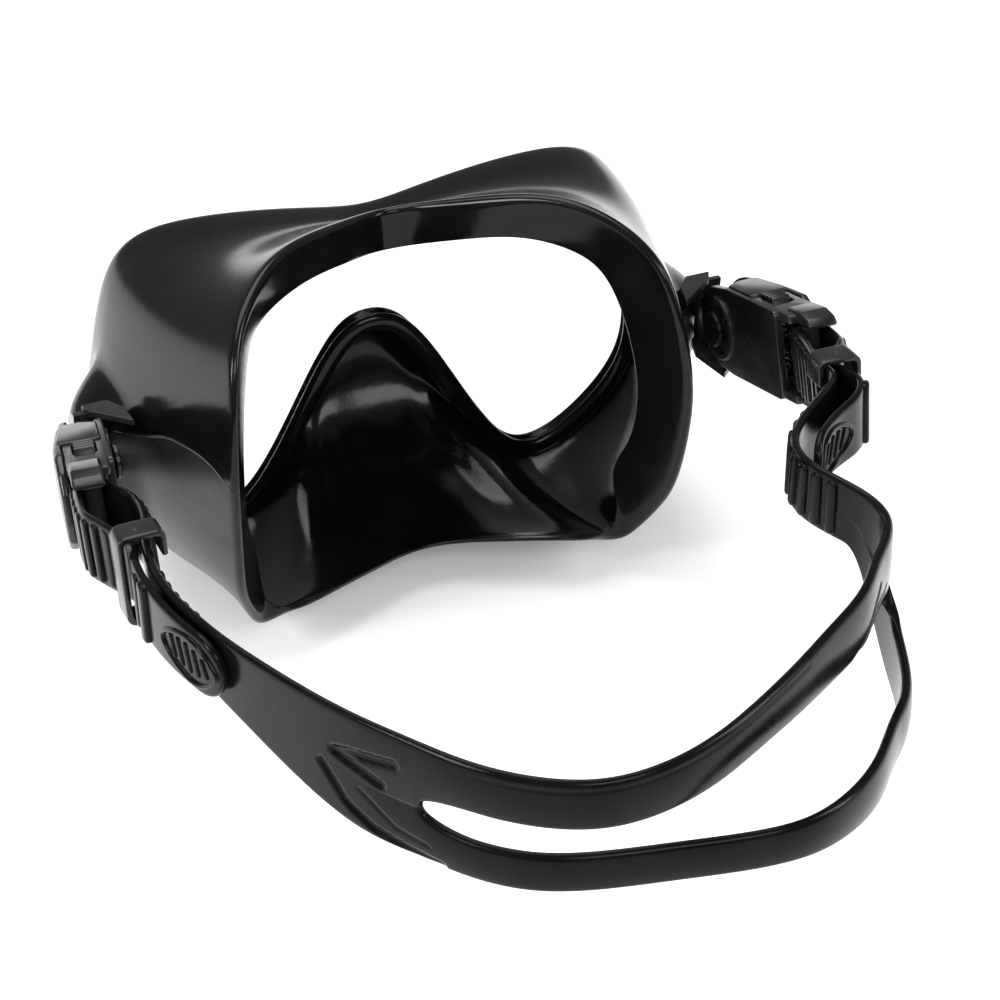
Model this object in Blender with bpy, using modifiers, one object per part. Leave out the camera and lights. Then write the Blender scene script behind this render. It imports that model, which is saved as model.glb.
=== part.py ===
"""Single-lens diving mask: a one-piece silicone skirt with nose pocket and
face seal, one flat tempered lens, a split silicone head strap, and on each
side a swivelling quick-release buckle with two squeeze buttons, a spring
loaded pawl, a roller and a strap keeper.

Frame: +Z up as worn, the lens faces -Y, the face is on the +Y side, +X is the
wearer's left.  X = 0 is the mask's symmetry plane and the origin is the apex
of the nose notch, on the back face of the skirt's lens rim plane.
Design values below are in millimetres; objects are built in metres.
"""

import math

import bmesh
import bpy
import numpy as np
from mathutils import Euler, Matrix, Vector

MM = 0.001

# ---------------------------------------------------------------- dimensions
LENS_FRONT_Y = -3.0          # outer face of the glass
LENS_BACK_Y = 1.0            # inner face: 4 mm tempered glass
LENS_OVERLAP = 3.5           # how far the glass runs under the rim
LENS_BEVEL_Y = -2.4          # the front face falls away to here under the rim
LENS_FACE_IN = 0.3           # the flat front face stops this far inside the aperture
GAP = 0.3                    # fit between touching parts

SKIRT_STATIONS = 42          # per half
WALL_STEPS = 10
WALL_HALF_RIM = 1.3          # half wall thickness beside the rim
WALL_HALF_SEAL = 0.9         # and at the face seal
LIP_HALF = 0.65
SEAL_FOLD = 2.8              # length over which the wall folds into the lip

# Skirt sections, from the middle of the brow round the temple and the cheek
# lobe to the apex of the nose notch:
# lens aperture (x, z) | wall guide 1 | wall guide 2 | seal edge | seal lip
SECTIONS = [
    ((0, 28.5), (0, 11, 35), (0, 17, 42), (0, 22, 47.5), (0, 21, 34.5)),
    ((18, 31), (18.5, 13, 37), (18, 24, 46.0), (18, 32.5, 52.5), (16, 33, 41)),
    ((38, 34), (39.8, 19, 39.4), (41, 36, 50.0), (39.5, 50.5, 58), (31.5, 43, 44)),
    ((56, 34.5), (60.3, 22, 39.4), (57.5, 48, 47), (54.5, 68.5, 52), (45, 49.5, 39.5)),
    ((66.5, 30), (70.8, 24, 34.8), (64.5, 57, 38.8), (60, 79.5, 40), (51, 56.5, 33)),
    ((71.5, 18), (77.2, 25, 20), (69, 61, 22), (62.5, 84.5, 21), (54.5, 62, 20)),
    ((74.8, 3), (84, 24, 3), (71, 62, 3), (63, 84.5, 2.5), (56.5, 65, 1.5)),
    ((77.3, -17), (87, 20, -17), (70, 58, -20), (62, 79.5, -20), (55.5, 62, -17)),
    ((74.5, -34.5), (84, 20, -37), (65, 50, -34), (60, 73.5, -34), (53, 57.5, -30)),
    ((63, -49), (70, 18, -54), (58, 44, -46), (56.5, 67, -45.5), (52.6, 60, -40.5)),
    ((49.2, -57), (49, 16, -64), (51, 42, -58), (52.5, 62.3, -51.4), (50.6, 61.4, -46.6)),
    ((39, -52.2), (35, 13, -62), (41, 40, -57), (45.0, 59.9, -51.0), (45.0, 62.4, -48.3)),
    ((29, -36.4), (21, -11, -48), (31, 30, -59), (37.3, 59.5, -48.7), (37.7, 62.8, -46.8)),
    ((19.5, -18), (12.5, -24, -34), (22, 8, -64), (26.6, 54.7, -49.2), (26.9, 58.3, -47.3)),
    ((10, -4), (7, -31, -20), (13.5, -4, -64), (16.8, 50.1, -50), (16.9, 53.8, -48.2)),
    ((0, 0.3), (0, -33, -14), (0, -8, -63), (0, 44.1, -51.8), (0, 47.9, -50.0)),
]
NOSE_FROM, NOSE_TO = 10.0, 12.5   # sections over which the wall turns forward

# Rim profile as (outward from the aperture edge, y), inside to outside.  The
# first set is for the sides, where the wall runs back; the second for the nose
# pocket, where it runs forward.
RIM_SIDE = [(3.7, 4.5), (3.5, 4.5), (3.2, 4.45), (2.8, 4.4), (0.9, 3.9), (-0.2, 2.6),
            (0.0, LENS_BACK_Y + GAP), (LENS_OVERLAP + GAP, LENS_BACK_Y + GAP),
            (LENS_OVERLAP + GAP, LENS_BEVEL_Y - GAP), (0.2, LENS_FRONT_Y - GAP),
            (0.3, -4.4), (1.4, -5.1), (3.8, -5.2), (5.6, -4.2), (6.3, -1.8)]
RIM_NOSE = [(6.1, -3.5), (6.3, 0.4), (5.6, 3.0), (3.3, 4.3), (0.9, 3.9), (-0.2, 2.6),
            (0.0, LENS_BACK_Y + GAP), (LENS_OVERLAP + GAP, LENS_BACK_Y + GAP),
            (LENS_OVERLAP + GAP, LENS_BEVEL_Y - GAP), (0.2, LENS_FRONT_Y - GAP),
            (0.3, -4.3), (1.2, -5.0), (1.8, -5.5), (2.3, -6.0), (2.8, -6.5)]
# Moulded boss on each side of the skirt, under the buckle bracket
BOSS_OUT = 9.5
BOSS_Y = ((-4.0, 19.0), (21.0, 42.0))     # rises over the first span, falls over the second
BOSS_Z = ((-34.0, -14.0), (-2.0, 10.0))

WALL_START_SIDE = (5.3, 4.8)
WALL_START_NOSE = (4.5, -7.0)

# Buckles: one swivel axis through both pivots, along X
PIVOT = {"left": (88.0, 47.0, 3.0), "right": (-88.0, 47.0, 3.0)}
SWIVEL = 20.0                      # degrees up from the mask's own level, at rest
YAW = {"left": 6.6, "right": 2.5}  # how far each buckle opens outward
ROLLER_U, ROLLER_X = 45.0, 6.8     # roller centre in the buckle's own plane
ROLLER_R, ROLLER_PIN_R = 2.4, 0.95
BODY_HALF = 12.6                   # half height of the buckle
COVER_BEND_U, COVER_DRAW_IN = 18.0, 0.14   # ahead of this the cover and walls taper towards the mask

# Strap
STRAP_T = 2.2
STRAP_W = 18.0                     # width through the buckles
TAIL_W = 17.5
TOP_AT_KEEPER, TOP_SLOPE, TOP_ARCH = 42.0, 0.1, 1.7   # upper edge: z = 42 + 0.1 (y - 130), arched a little
KEEPER = {"left": (97.9, 130.2), "right": (-88.0, 119.6)}
KEEPER_TURN = {"left": 3.0, "right": 0.0}
KEEPER_TILT = 9.0
KEEPER_SIZE = (12.0, 7.6, 24.2)    # thickness over both layers, length, height
KEEPER_WALL = 1.5

# Route of the strap seen from above, centre of its thickness.
LEFT_TAIL = [(91.9, 183.5), (94.6, 177.2), (98.7, 163.5), (101.0, 147.5), (100.6, 136.0),
             (99.7, 130.0), (102.2, 120.5), (104.6, 112.0), (105.6, 103.0)]
LEFT_MAIN = [(93.4, 98.0), (92.6, 108.0), (93.6, 118.5), (96.3, 130.0), (97.6, 147.5), (95.4, 162.5),
             (91.3, 177.0), (85.8, 191.0), (79.5, 204.5), (72.3, 217.5)]
UPPER = [(64.0, 229.8), (55.0, 241.8), (43.8, 251.8), (30.0, 257.9), (15.0, 257.3), (1.2, 252.3),
         (-11.9, 244.7), (-24.4, 236.2), (-36.5, 227.1), (-48.3, 217.4), (-57.5, 206.0)]
LOWER = [(63.9, 229.6), (54.8, 241.5), (43.3, 251.0), (29.0, 256.2), (14.0, 259.0), (-0.7, 261.2),
         (-15.2, 261.2), (-28.6, 255.6), (-40.2, 246.0), (-50.0, 234.2), (-59.4, 220.4)]
RIGHT_MAIN = [(-66.0, 193.2), (-64.6, 177.8), (-60.0, 163.3), (-62.6, 149.5), (-73.0, 138.3),
              (-82.9, 128.5), (-85.8, 122.6), (-86.1, 116.8), (-88.0, 108.0), (-90.6, 98.5)]
RIGHT_TAIL = [(-99.8, 97.5), (-97.6, 104.5), (-92.4, 111.2), (-89.6, 116.8), (-89.4, 122.6), (-90.2, 128.2),
              (-88.6, 133.4), (-84.4, 138.6), (-78.6, 142.8), (-72.6, 147.6), (-67.4, 153.4), (-65.0, 158.5)]
# heights at the back of the head, left and right
BAND_UPPER, SLOT, BAND_LOWER = (14.0, 18.0), (9.0, 6.8), (11.0, 15.5)


# ------------------------------------------------------------------- helpers
def clear_scene():
    for obj in list(bpy.data.objects):
        bpy.data.objects.remove(obj, do_unlink=True)


def make_collection(name):
    col = bpy.data.collections.new(name)
    bpy.context.scene.collection.children.link(col)
    return col


def material(name, colour, roughness, metallic=0.0, transmission=0.0):
    mat = bpy.data.materials.new(name)
    mat.use_nodes = True
    shader = mat.node_tree.nodes["Principled BSDF"]
    shader.inputs["Base Color"].default_value = (*colour, 1.0)
    shader.inputs["Roughness"].default_value = roughness
    shader.inputs["Metallic"].default_value = metallic
    shader.inputs["Transmission Weight"].default_value = transmission
    mat.diffuse_color = (*colour, 1.0)
    return mat


def finish(obj, mat, angle=35.0):
    obj.data.materials.clear()
    obj.data.materials.append(mat)
    obj.data.shade_smooth()
    obj.data.set_sharp_from_angle(angle=math.radians(angle))
    return obj


def add_mesh(name, verts, faces, col, scale=MM):
    mesh = bpy.data.meshes.new(name)
    mesh.from_pydata([tuple(float(c) * scale for c in v) for v in verts], [], faces)
    bm = bmesh.new()
    bm.from_mesh(mesh)
    bmesh.ops.recalc_face_normals(bm, faces=bm.faces)
    bm.to_mesh(mesh)
    bm.free()
    obj = bpy.data.objects.new(name, mesh)
    col.objects.link(obj)
    return obj


def box(name, lo, hi, col, bevel=0.0):
    """A box between two corners, in mm, with an optional small edge bevel."""
    bm = bmesh.new()
    bmesh.ops.create_cube(bm, size=1.0)
    size = [(b - a) * MM for a, b in zip(lo, hi)]
    mid = [(a + b) / 2 * MM for a, b in zip(lo, hi)]
    for v in bm.verts:
        v.co = Vector([v.co[i] * size[i] + mid[i] for i in range(3)])
    if bevel:
        bmesh.ops.bevel(bm, geom=list(bm.edges), offset=bevel * MM, segments=1, affect="EDGES")
    mesh = bpy.data.meshes.new(name)
    bm.to_mesh(mesh)
    bm.free()
    obj = bpy.data.objects.new(name, mesh)
    col.objects.link(obj)
    return obj


def cylinder(name, centre, radius, depth, axis, col, segments=20, bevel=0.0):
    bm = bmesh.new()
    bmesh.ops.create_cone(bm, cap_ends=True, segments=segments, radius1=radius * MM,
                          radius2=radius * MM, depth=depth * MM)
    if bevel:
        rims = [e for e in bm.edges if abs(e.verts[0].co.z - e.verts[1].co.z) < 1e-9]
        bmesh.ops.bevel(bm, geom=rims, offset=bevel * MM, segments=1, affect="EDGES")
    turn = {"X": Matrix.Rotation(math.pi / 2, 4, "Y"), "Y": Matrix.Rotation(-math.pi / 2, 4, "X"),
            "Z": Matrix.Identity(4)}[axis]
    bmesh.ops.transform(bm, matrix=Matrix.Translation(Vector(centre) * MM) @ turn, verts=bm.verts)
    mesh = bpy.data.meshes.new(name)
    bm.to_mesh(mesh)
    bm.free()
    obj = bpy.data.objects.new(name, mesh)
    col.objects.link(obj)
    return obj


def prism(name, outline, lo, hi, axis, col, bevel=0.0):
    """A flat outline given to a length, as a filled 2D curve turned into a mesh.
    axis X: outline is (y, z) and the prism runs from x = lo to hi;
    axis Z: outline is (x, y) and it runs from z = lo to hi."""
    curve = bpy.data.curves.new(name, "CURVE")
    curve.dimensions = "2D"
    curve.fill_mode = "BOTH"
    curve.extrude = (hi - lo) / 2 * MM
    line = curve.splines.new("POLY")
    line.points.add(len(outline) - 1)
    for point, (a, b) in zip(line.points, outline):
        point.co = (a * MM, b * MM, 0.0, 1.0)
    line.use_cyclic_u = True
    temp = bpy.data.objects.new(name + "_outline", curve)
    col.objects.link(temp)
    bpy.context.view_layer.update()
    graph = bpy.context.evaluated_depsgraph_get()
    mesh = bpy.data.meshes.new_from_object(temp.evaluated_get(graph))
    bpy.data.objects.remove(temp, do_unlink=True)
    bm = bmesh.new()
    bm.from_mesh(mesh)
    bmesh.ops.remove_doubles(bm, verts=bm.verts, dist=1e-6)
    if axis == "X":
        turn = Matrix(((0, 0, 1, 0), (1, 0, 0, 0), (0, 1, 0, 0), (0, 0, 0, 1)))
        shift = Matrix.Translation(((lo + hi) / 2 * MM, 0, 0))
    else:
        turn = Matrix.Identity(4)
        shift = Matrix.Translation((0, 0, (lo + hi) / 2 * MM))
    bmesh.ops.transform(bm, matrix=shift @ turn, verts=bm.verts)
    bmesh.ops.recalc_face_normals(bm, faces=bm.faces)
    if bevel:
        edges = [e for e in bm.edges if len(e.link_faces) == 2 and e.calc_face_angle() > 1.2
                 and any(abs(abs(f.normal.x if axis == "X" else f.normal.z) - 1) < 1e-3 for f in e.link_faces)]
        bmesh.ops.bevel(bm, geom=edges, offset=bevel * MM, segments=1, affect="EDGES")
    bm.to_mesh(mesh)
    bm.free()
    mesh.name = name
    obj = bpy.data.objects.new(name, mesh)
    col.objects.link(obj)
    return obj


def combine(target, others, operation, cutters):
    """Boolean each of the others into the target and bake the result."""
    for other in others:
        mod = target.modifiers.new(operation.lower(), "BOOLEAN")
        mod.operation = operation
        mod.solver = "EXACT"
        mod.object = other
    bpy.context.view_layer.update()
    graph = bpy.context.evaluated_depsgraph_get()
    mesh = bpy.data.meshes.new_from_object(target.evaluated_get(graph))
    target.modifiers.clear()
    old = target.data
    target.data = mesh
    bpy.data.meshes.remove(old)
    for other in others:
        for col in list(other.users_collection):
            col.objects.unlink(other)
        cutters.objects.link(other)
        other.hide_render = True
        other.display_type = "WIRE"
    return target


def spline(points, samples, closed_sign=None):
    """Natural cubic spline through rows of points at parameters 0, 1, 2 ...
    closed_sign mirrors three rows past each end, so that the curve crosses the
    symmetry plane squarely."""
    pts = np.array(points, float)
    offset = 0
    if closed_sign is not None:
        sign = np.array(closed_sign, float)
        pts = np.vstack([pts[3:0:-1] * sign, pts, pts[-2:-5:-1] * sign])
        offset = 3
    n = len(pts)
    a = np.zeros((n, n))
    rhs = np.zeros_like(pts)
    a[0, 0] = a[-1, -1] = 1.0
    for i in range(1, n - 1):
        a[i, i - 1:i + 2] = 1, 4, 1
        rhs[i] = 6 * (pts[i + 1] - 2 * pts[i] + pts[i - 1])
    m = np.linalg.solve(a, rhs)
    out = []
    for t in samples:
        u = t + offset
        i = min(max(int(math.floor(u)), 0), n - 2)
        f = u - i
        g = 1 - f
        out.append(g * pts[i] + f * pts[i + 1] + ((g**3 - g) * m[i] + (f**3 - f) * m[i + 1]) / 6)
    return np.array(out)


def smoothstep(x, lo, hi):
    t = min(max((x - lo) / (hi - lo), 0.0), 1.0)
    return t * t * (3 - 2 * t)


# --------------------------------------------------------------------- skirt
def station_parameters(count):
    """Section parameters spaced evenly along the aperture edge."""
    fine = np.linspace(0, len(SECTIONS) - 1, 600)
    edge = spline([s[0] for s in SECTIONS], fine, (-1, 1))
    seal = spline([s[3] for s in SECTIONS], fine, (-1, 1, 1))
    step = np.linalg.norm(np.diff(edge, axis=0), axis=1) + 0.6 * np.linalg.norm(np.diff(seal, axis=0), axis=1)
    run = np.concatenate([[0], np.cumsum(step)])
    return np.interp(np.linspace(0, run[-1], count), run, fine)


def skirt_frame(params):
    """Aperture points, in-plane outward normals and the three guide curves."""
    eps = 1e-3
    edge = spline([s[0] for s in SECTIONS], params, (-1, 1))
    ahead = spline([s[0] for s in SECTIONS], params + eps, (-1, 1))
    behind = spline([s[0] for s in SECTIONS], params - eps, (-1, 1))
    tangent = ahead - behind
    tangent /= np.linalg.norm(tangent, axis=1)[:, None]
    normal = np.column_stack([-tangent[:, 1], tangent[:, 0]])
    if normal[0][1] < 0:
        normal = -normal
    guides = [spline([s[k] for s in SECTIONS], params, (-1, 1, 1)) for k in (1, 2, 3, 4)]
    return edge, normal, guides


def nose_weight(p):
    return smoothstep(p, NOSE_FROM, NOSE_TO)


def rim_point(edge, normal, out, y):
    q = edge + normal * out
    return np.array([q[0], y, q[1]])


def boss(q):
    """How far the side boss pushes a point of the wall outward."""
    (y0, y1), (y2, y3) = BOSS_Y
    (z0, z1), (z2, z3) = BOSS_Z
    if q[0] < 50.0:
        return 0.0
    return BOSS_OUT * smoothstep(q[1], y0, y1) * (1 - smoothstep(q[1], y2, y3)) * \
        smoothstep(q[2], z0, z1) * (1 - smoothstep(q[2], z2, z3))


def skirt_grid(params, wall_steps):
    """Middle surface of the skirt wall, from the rim over the seal to the lip."""
    edge, normal, (c1, c2, seal, lip) = skirt_frame(params)
    rows = []
    for i, p in enumerate(params):
        w = nose_weight(p)
        out = (1 - w) * WALL_START_SIDE[0] + w * WALL_START_NOSE[0]
        y = (1 - w) * WALL_START_SIDE[1] + w * WALL_START_NOSE[1]
        start = rim_point(edge[i], normal[i], out, y)
        wall_dir = (seal[i] - c2[i]) / np.linalg.norm(seal[i] - c2[i])
        lip_dir = (lip[i] - seal[i]) / np.linalg.norm(lip[i] - seal[i])
        end = seal[i] - wall_dir * SEAL_FOLD
        row = []
        for k in range(wall_steps):
            t = k / (wall_steps - 1)
            row.append((1 - t)**3 * start + 3 * (1 - t)**2 * t * c1[i] + 3 * (1 - t) * t * t * c2[i] + t**3 * end)
        fold = seal[i] + lip_dir * SEAL_FOLD
        for t in (0.35, 0.68, 1.0):
            row.append((1 - t)**2 * end + 2 * (1 - t) * t * seal[i] + t * t * fold)
        row.append((fold + lip[i]) / 2)
        row.append(lip[i])
        for q in row[1:wall_steps]:
            q[0] += boss(q)
        rows.append(row)
    return np.array(rows), edge, normal


def grid_normals(grid):
    """Unit normals of the middle surface; the ends mirror in X = 0."""
    flip = np.array([-1.0, 1.0, 1.0])
    ahead = np.concatenate([grid[1:], grid[-2:-1] * flip])
    behind = np.concatenate([grid[1:2] * flip, grid[:-1]])
    along = np.gradient(grid, axis=1)
    n = np.cross(ahead - behind, along)
    n /= np.linalg.norm(n, axis=2)[:, :, None]
    side = len(grid) // 3
    return n if n[side][2][0] > 0 else -n


def build_skirt(col):
    params = station_parameters(SKIRT_STATIONS)
    grid, edge, normal = skirt_grid(params, WALL_STEPS)
    n = grid_normals(grid)
    count = grid.shape[1]
    half = np.interp(np.arange(count), [0, WALL_STEPS - 1, count - 1], [WALL_HALF_RIM, WALL_HALF_SEAL, LIP_HALF])
    verts, per = [], 0
    for i, p in enumerate(params):
        w = nose_weight(p)
        loop = [grid[i][j] + n[i][j] * half[j] for j in range(count)]
        tip = grid[i][-1] - grid[i][-2]
        loop.append(grid[i][-1] + tip / np.linalg.norm(tip) * LIP_HALF)
        loop += [grid[i][j] - n[i][j] * half[j] for j in reversed(range(count))]
        for (o1, y1), (o2, y2) in zip(RIM_SIDE, RIM_NOSE):
            loop.append(rim_point(edge[i], normal[i], (1 - w) * o1 + w * o2, (1 - w) * y1 + w * y2))
        per = len(loop)
        if i in (0, len(params) - 1):
            for q in loop:
                q[0] = 0.0
        verts += loop
    faces = []
    for i in range(len(params) - 1):
        for j in range(per):
            k = (j + 1) % per
            faces.append((i * per + j, i * per + k, (i + 1) * per + k, (i + 1) * per + j))
    obj = add_mesh("skirt", verts, faces, col)
    mirror = obj.modifiers.new("other_half", "MIRROR")
    mirror.use_clip = True
    mirror.merge_threshold = 0.00005
    return obj, params


def build_lens(col, params):
    """A flat plate whose front edge is ground to a shallow bevel under the rim."""
    edge, normal, _ = skirt_frame(params)
    verts, per = [], 0
    for out, y in ((LENS_OVERLAP, LENS_BACK_Y), (LENS_OVERLAP, LENS_BEVEL_Y), (-LENS_FACE_IN, LENS_FRONT_Y)):
        half = [edge[i] + normal[i] * out for i in range(len(params))]
        outline = [(0.0 if i in (0, len(half) - 1) else q[0], q[1]) for i, q in enumerate(half)]
        outline += [(-x, z) for x, z in outline[-2:0:-1]]
        per = len(outline)
        verts += [(x, y, z) for x, z in outline]
    faces = [tuple(range(per)), tuple(2 * per + i for i in reversed(range(per)))]
    for ring in range(2):
        for i in range(per):
            j = (i + 1) % per
            faces.append((ring * per + i, ring * per + j, (ring + 1) * per + j, (ring + 1) * per + i))
    return add_mesh("lens", verts, faces, col)


# --------------------------------------------------------------------- strap
def strap_top(y):
    """Height of the strap's upper edge: it climbs with the tilted buckle and
    levels off behind the keeper."""
    climb = PIVOT["left"][2] + (y - PIVOT["left"][1]) * math.tan(math.radians(SWIVEL)) + STRAP_W / 2
    level = TOP_AT_KEEPER + TOP_SLOPE * (y - 130.0) + TOP_ARCH * math.sin(math.pi * min(max((y - 130.0) / 130.0, 0.0), 1.0))
    k = 5.0
    h = min(max(0.5 + 0.5 * (level - climb) / k, 0.0), 1.0)
    return level * (1 - h) + climb * h - k * h * (1 - h)


def strap_lean(y):
    """The width of the strap leans with the buckle and stands up behind it."""
    if y < 112.0:
        return math.radians(SWIVEL)
    if y < 130.0:
        return math.radians(SWIVEL + (KEEPER_TILT - SWIVEL) * smoothstep(y, 112.0, 130.0))
    return math.radians(KEEPER_TILT * (1 - smoothstep(y, 130.0, 152.0)))


def buckle_matrix(side):
    """Buckle frame: local x outward, y (u) towards the strap, z (v) up."""
    s = 1.0 if side == "left" else -1.0
    base = Matrix.Translation(Vector(PIVOT[side]) * MM)
    return base @ Euler((math.radians(SWIVEL), 0, 0)).to_matrix().to_4x4() @ \
        Matrix.Rotation(math.radians(-s * YAW[side]), 4, "Z")


def turn_points(side):
    """Centre line of the strap's half turn round the roller, in world mm, from
    the outer layer to the inner one."""
    s = 1.0 if side == "left" else -1.0
    m = buckle_matrix(side)
    r = ROLLER_R + GAP + 0.15 + STRAP_T / 2
    pts = []
    for k in range(9):
        a = math.pi * k / 8
        local = Vector((s * (ROLLER_X + r * math.cos(a)), ROLLER_U - r * math.sin(a), 0.0)) * MM
        pts.append(tuple(c / MM for c in (m @ local)))
    return pts


def band_heights(s):
    """Upper band, slot and lower band at run s from the middle of the back."""
    t = smoothstep(s, 5.0, 60.0)
    return [a + (b - a) * t for a, b in (BAND_UPPER, SLOT, BAND_LOWER)]


def strap_route():
    """Columns of the strap from the left tail's tip to the right tail's tip:
    (upper xy, lower xy, centre height or None, kind)."""
    left_turn = [p[:2] for p in turn_points("left")]
    right_turn = [p[:2] for p in turn_points("right")][::-1]
    upper = LEFT_TAIL + left_turn + LEFT_MAIN + UPPER + RIGHT_MAIN + right_turn + RIGHT_TAIL
    lower = LEFT_TAIL + left_turn + LEFT_MAIN + LOWER + RIGHT_MAIN + right_turn + RIGHT_TAIL
    marks = np.cumsum([0, len(LEFT_TAIL), 9, len(LEFT_MAIN), len(UPPER), len(RIGHT_MAIN), 9, len(RIGHT_TAIL)])
    spacing = []
    for a in range(len(upper) - 1):
        in_turn = marks[1] - 1 <= a < marks[2] or marks[5] - 1 <= a < marks[6]
        gap = math.dist(upper[a], upper[a + 1])
        spacing.append(1 if in_turn else max(1, int(round(gap / 5.0))))
    params = []
    for a, n in enumerate(spacing):
        params += [a + k / n for k in range(n)]
    params.append(len(upper) - 1)
    params = np.array(params, float)
    return spline(upper, params), spline(lower, params), params, marks


def build_strap(col):
    up, lo, params, marks = strap_route()
    run = np.concatenate([[0], np.cumsum(np.linalg.norm(np.diff(up, axis=0), axis=1))])
    centre = np.interp(marks[3] + 5.1, params, run)
    split_a = np.interp(marks[3] + 0.15, params, run) - centre      # slot ends
    split_b = np.interp(marks[4] - 0.45, params, run) - centre
    verts, faces, open_slot = [], [], []
    for i, p in enumerate(params):
        s = run[i] - centre
        x, y = up[i]
        on_tail = p < marks[1] - 0.5 or p > marks[6] - 0.5
        if on_tail:
            end = min(run[i], run[-1] - run[i])
            w = TAIL_W * math.sqrt(max(1 - (1 - min(end / 9.0, 1.0))**2, 0.06))
        elif marks[2] <= p <= marks[5]:
            upper_w, slot, lower_w = band_heights(s)
            t = smoothstep(s, split_a - 75, split_a - 8) if s < 0 else 1 - smoothstep(s, split_b - 2, split_b + 24)
            w = STRAP_W + (upper_w + slot + lower_w - STRAP_W) * t
        else:
            w = STRAP_W
        lean = strap_lean(y)
        top = strap_top(y)
        if w <= STRAP_W + 1:
            # ruled about the centre line, leaning with the buckle
            mid = top - STRAP_W / 2
            across = Vector((0, -math.sin(lean), math.cos(lean)))
            for f in (-0.5, -0.3, -0.1, 0.1, 0.3, 0.5):
                verts.append((x + across.x * f * w, y + across.y * f * w, mid + across.z * f * w))
            open_slot.append(False)
            continue
        inside = split_a < s < split_b
        f = w / (upper_w + slot + lower_w)
        opening = 0.12
        if inside:
            edge = min(s - split_a, split_b - s)
            opening = max(0.12, math.sqrt(max(0.0, 1 - (1 - min(edge / 16.0, 1.0))**2)))
        gap_mid = (upper_w + slot / 2) * f
        half_gap = slot / 2 * f * opening
        down = [w, (w + gap_mid + half_gap) / 2, gap_mid + half_gap, gap_mid - half_gap, (gap_mid - half_gap) / 2, 0.0]
        for k, d in enumerate(down):
            q = lo[i] if k < 3 else up[i]
            verts.append((q[0], q[1] - math.sin(lean) * (w / 2 - d), top - d))
        open_slot.append(inside)
    for i in range(len(params) - 1):
        for k in range(5):
            if k == 2 and open_slot[i] and open_slot[i + 1]:
                continue
            a, b = i * 6 + k, (i + 1) * 6 + k
            faces.append((a, b, b + 1, a + 1))
    obj = add_mesh("head_strap", verts, faces, col)
    solid = obj.modifiers.new("thickness", "SOLIDIFY")
    solid.thickness = STRAP_T * MM
    solid.offset = 0.0
    solid.use_even_offset = True
    return obj


# ------------------------------------------------------------------- buckles
def place(obj, side, parent):
    """Parts of the buckle are drawn for the left side, then mirrored in their
    own x for the right, and hung on the side's swivel frame."""
    if side == "right":
        for v in obj.data.vertices:
            v.co.x = -v.co.x
        obj.data.flip_normals()
    obj.parent = parent
    return obj


def disc_outline(radius, u_end, half, count=13):
    """Rounded front round the pivot, then parallel sides to u_end."""
    pts = []
    for k in range(count):
        a = math.radians(90 + 180 * k / (count - 1))
        pts.append((radius * math.cos(a), radius * math.sin(a)))
    pts.append((5.0, -half))
    pts.append((u_end, -half))
    pts.append((u_end, half))
    pts.append((5.0, half))
    return pts


def build_body(side, parent, col, cutters):
    tag = side + "_"
    body = prism(tag + "buckle_body", disc_outline(11.8, 37.5, BODY_HALF), 0.0, 2.2, "X", col, bevel=0.4)
    joined = []
    for sign, word in ((1, "top"), (-1, "bottom")):
        lo, hi = sorted((sign * 10.4, sign * BODY_HALF))
        front = 12.0 - COVER_DRAW_IN * (COVER_BEND_U - 4.6)
        joined.append(prism(tag + word + "_wall", [(1.4, 4.6), (1.4, 44.0), (12.0, 44.0), (12.0, COVER_BEND_U), (front, 4.6)],
                            lo, hi, "Z", col))
        lo, hi = sorted((sign * 9.6, sign * 13.3))
        joined.append(box(tag + word + "_pad", (3.4, 37.6, lo), (11.8, 51.6, hi), col, bevel=0.9))
    joined.append(box(tag + "centre_rib", (1.2, 22.0, -1.1), (9.0, 30.0, 1.1), col))
    combine(body, joined, "UNION", cutters)
    cuts = [cylinder(tag + "pivot_hole", (1.0, 0, 0), 2.9, 6.0, "X", cutters, 20),
            cylinder(tag + "roller_pin_hole", (ROLLER_X, ROLLER_U, 0), ROLLER_PIN_R + 0.3, 40.0, "Z", cutters, 16)]
    for sign, word in ((1, "upper"), (-1, "lower")):
        lo, hi = sorted((sign * 8.0, sign * 16.0))
        cuts.append(box(tag + word + "_button_slot", (3.4, 20.6, lo), (9.7, 31.4, hi), cutters))
    combine(body, cuts, "DIFFERENCE", cutters)
    return place(body, side, parent)


def build_cover(side, parent, col):
    outline = disc_outline(12.4, 29.0, 12.9)
    tail = [(34.0, -9.0), (36.5, 0.0), (34.0, 9.0)]
    outline = outline[:-2] + tail + outline[-2:]
    cover = prism(side + "_buckle_cover", outline, 12.3, 14.9, "X", col, bevel=0.9)
    bm = bmesh.new()
    bm.from_mesh(cover.data)
    bmesh.ops.bisect_plane(bm, geom=list(bm.verts) + list(bm.edges) + list(bm.faces), dist=1e-7,
                           plane_co=(0, COVER_BEND_U * MM, 0), plane_no=(0, 1, 0))
    for v in bm.verts:
        v.co.x -= COVER_DRAW_IN * max(0.0, COVER_BEND_U * MM - v.co.y)
    bm.to_mesh(cover.data)
    bm.free()
    return place(cover, side, parent)


def build_button(side, word, parent, col):
    sign = 1 if word == "upper" else -1
    lo, hi = sorted((sign * 8.4, sign * 13.4))
    button = box(f"{side}_{word}_button", (3.8, 21.0, lo), (9.3, 31.0, hi), col, bevel=0.5)
    return place(button, side, parent)


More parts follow.
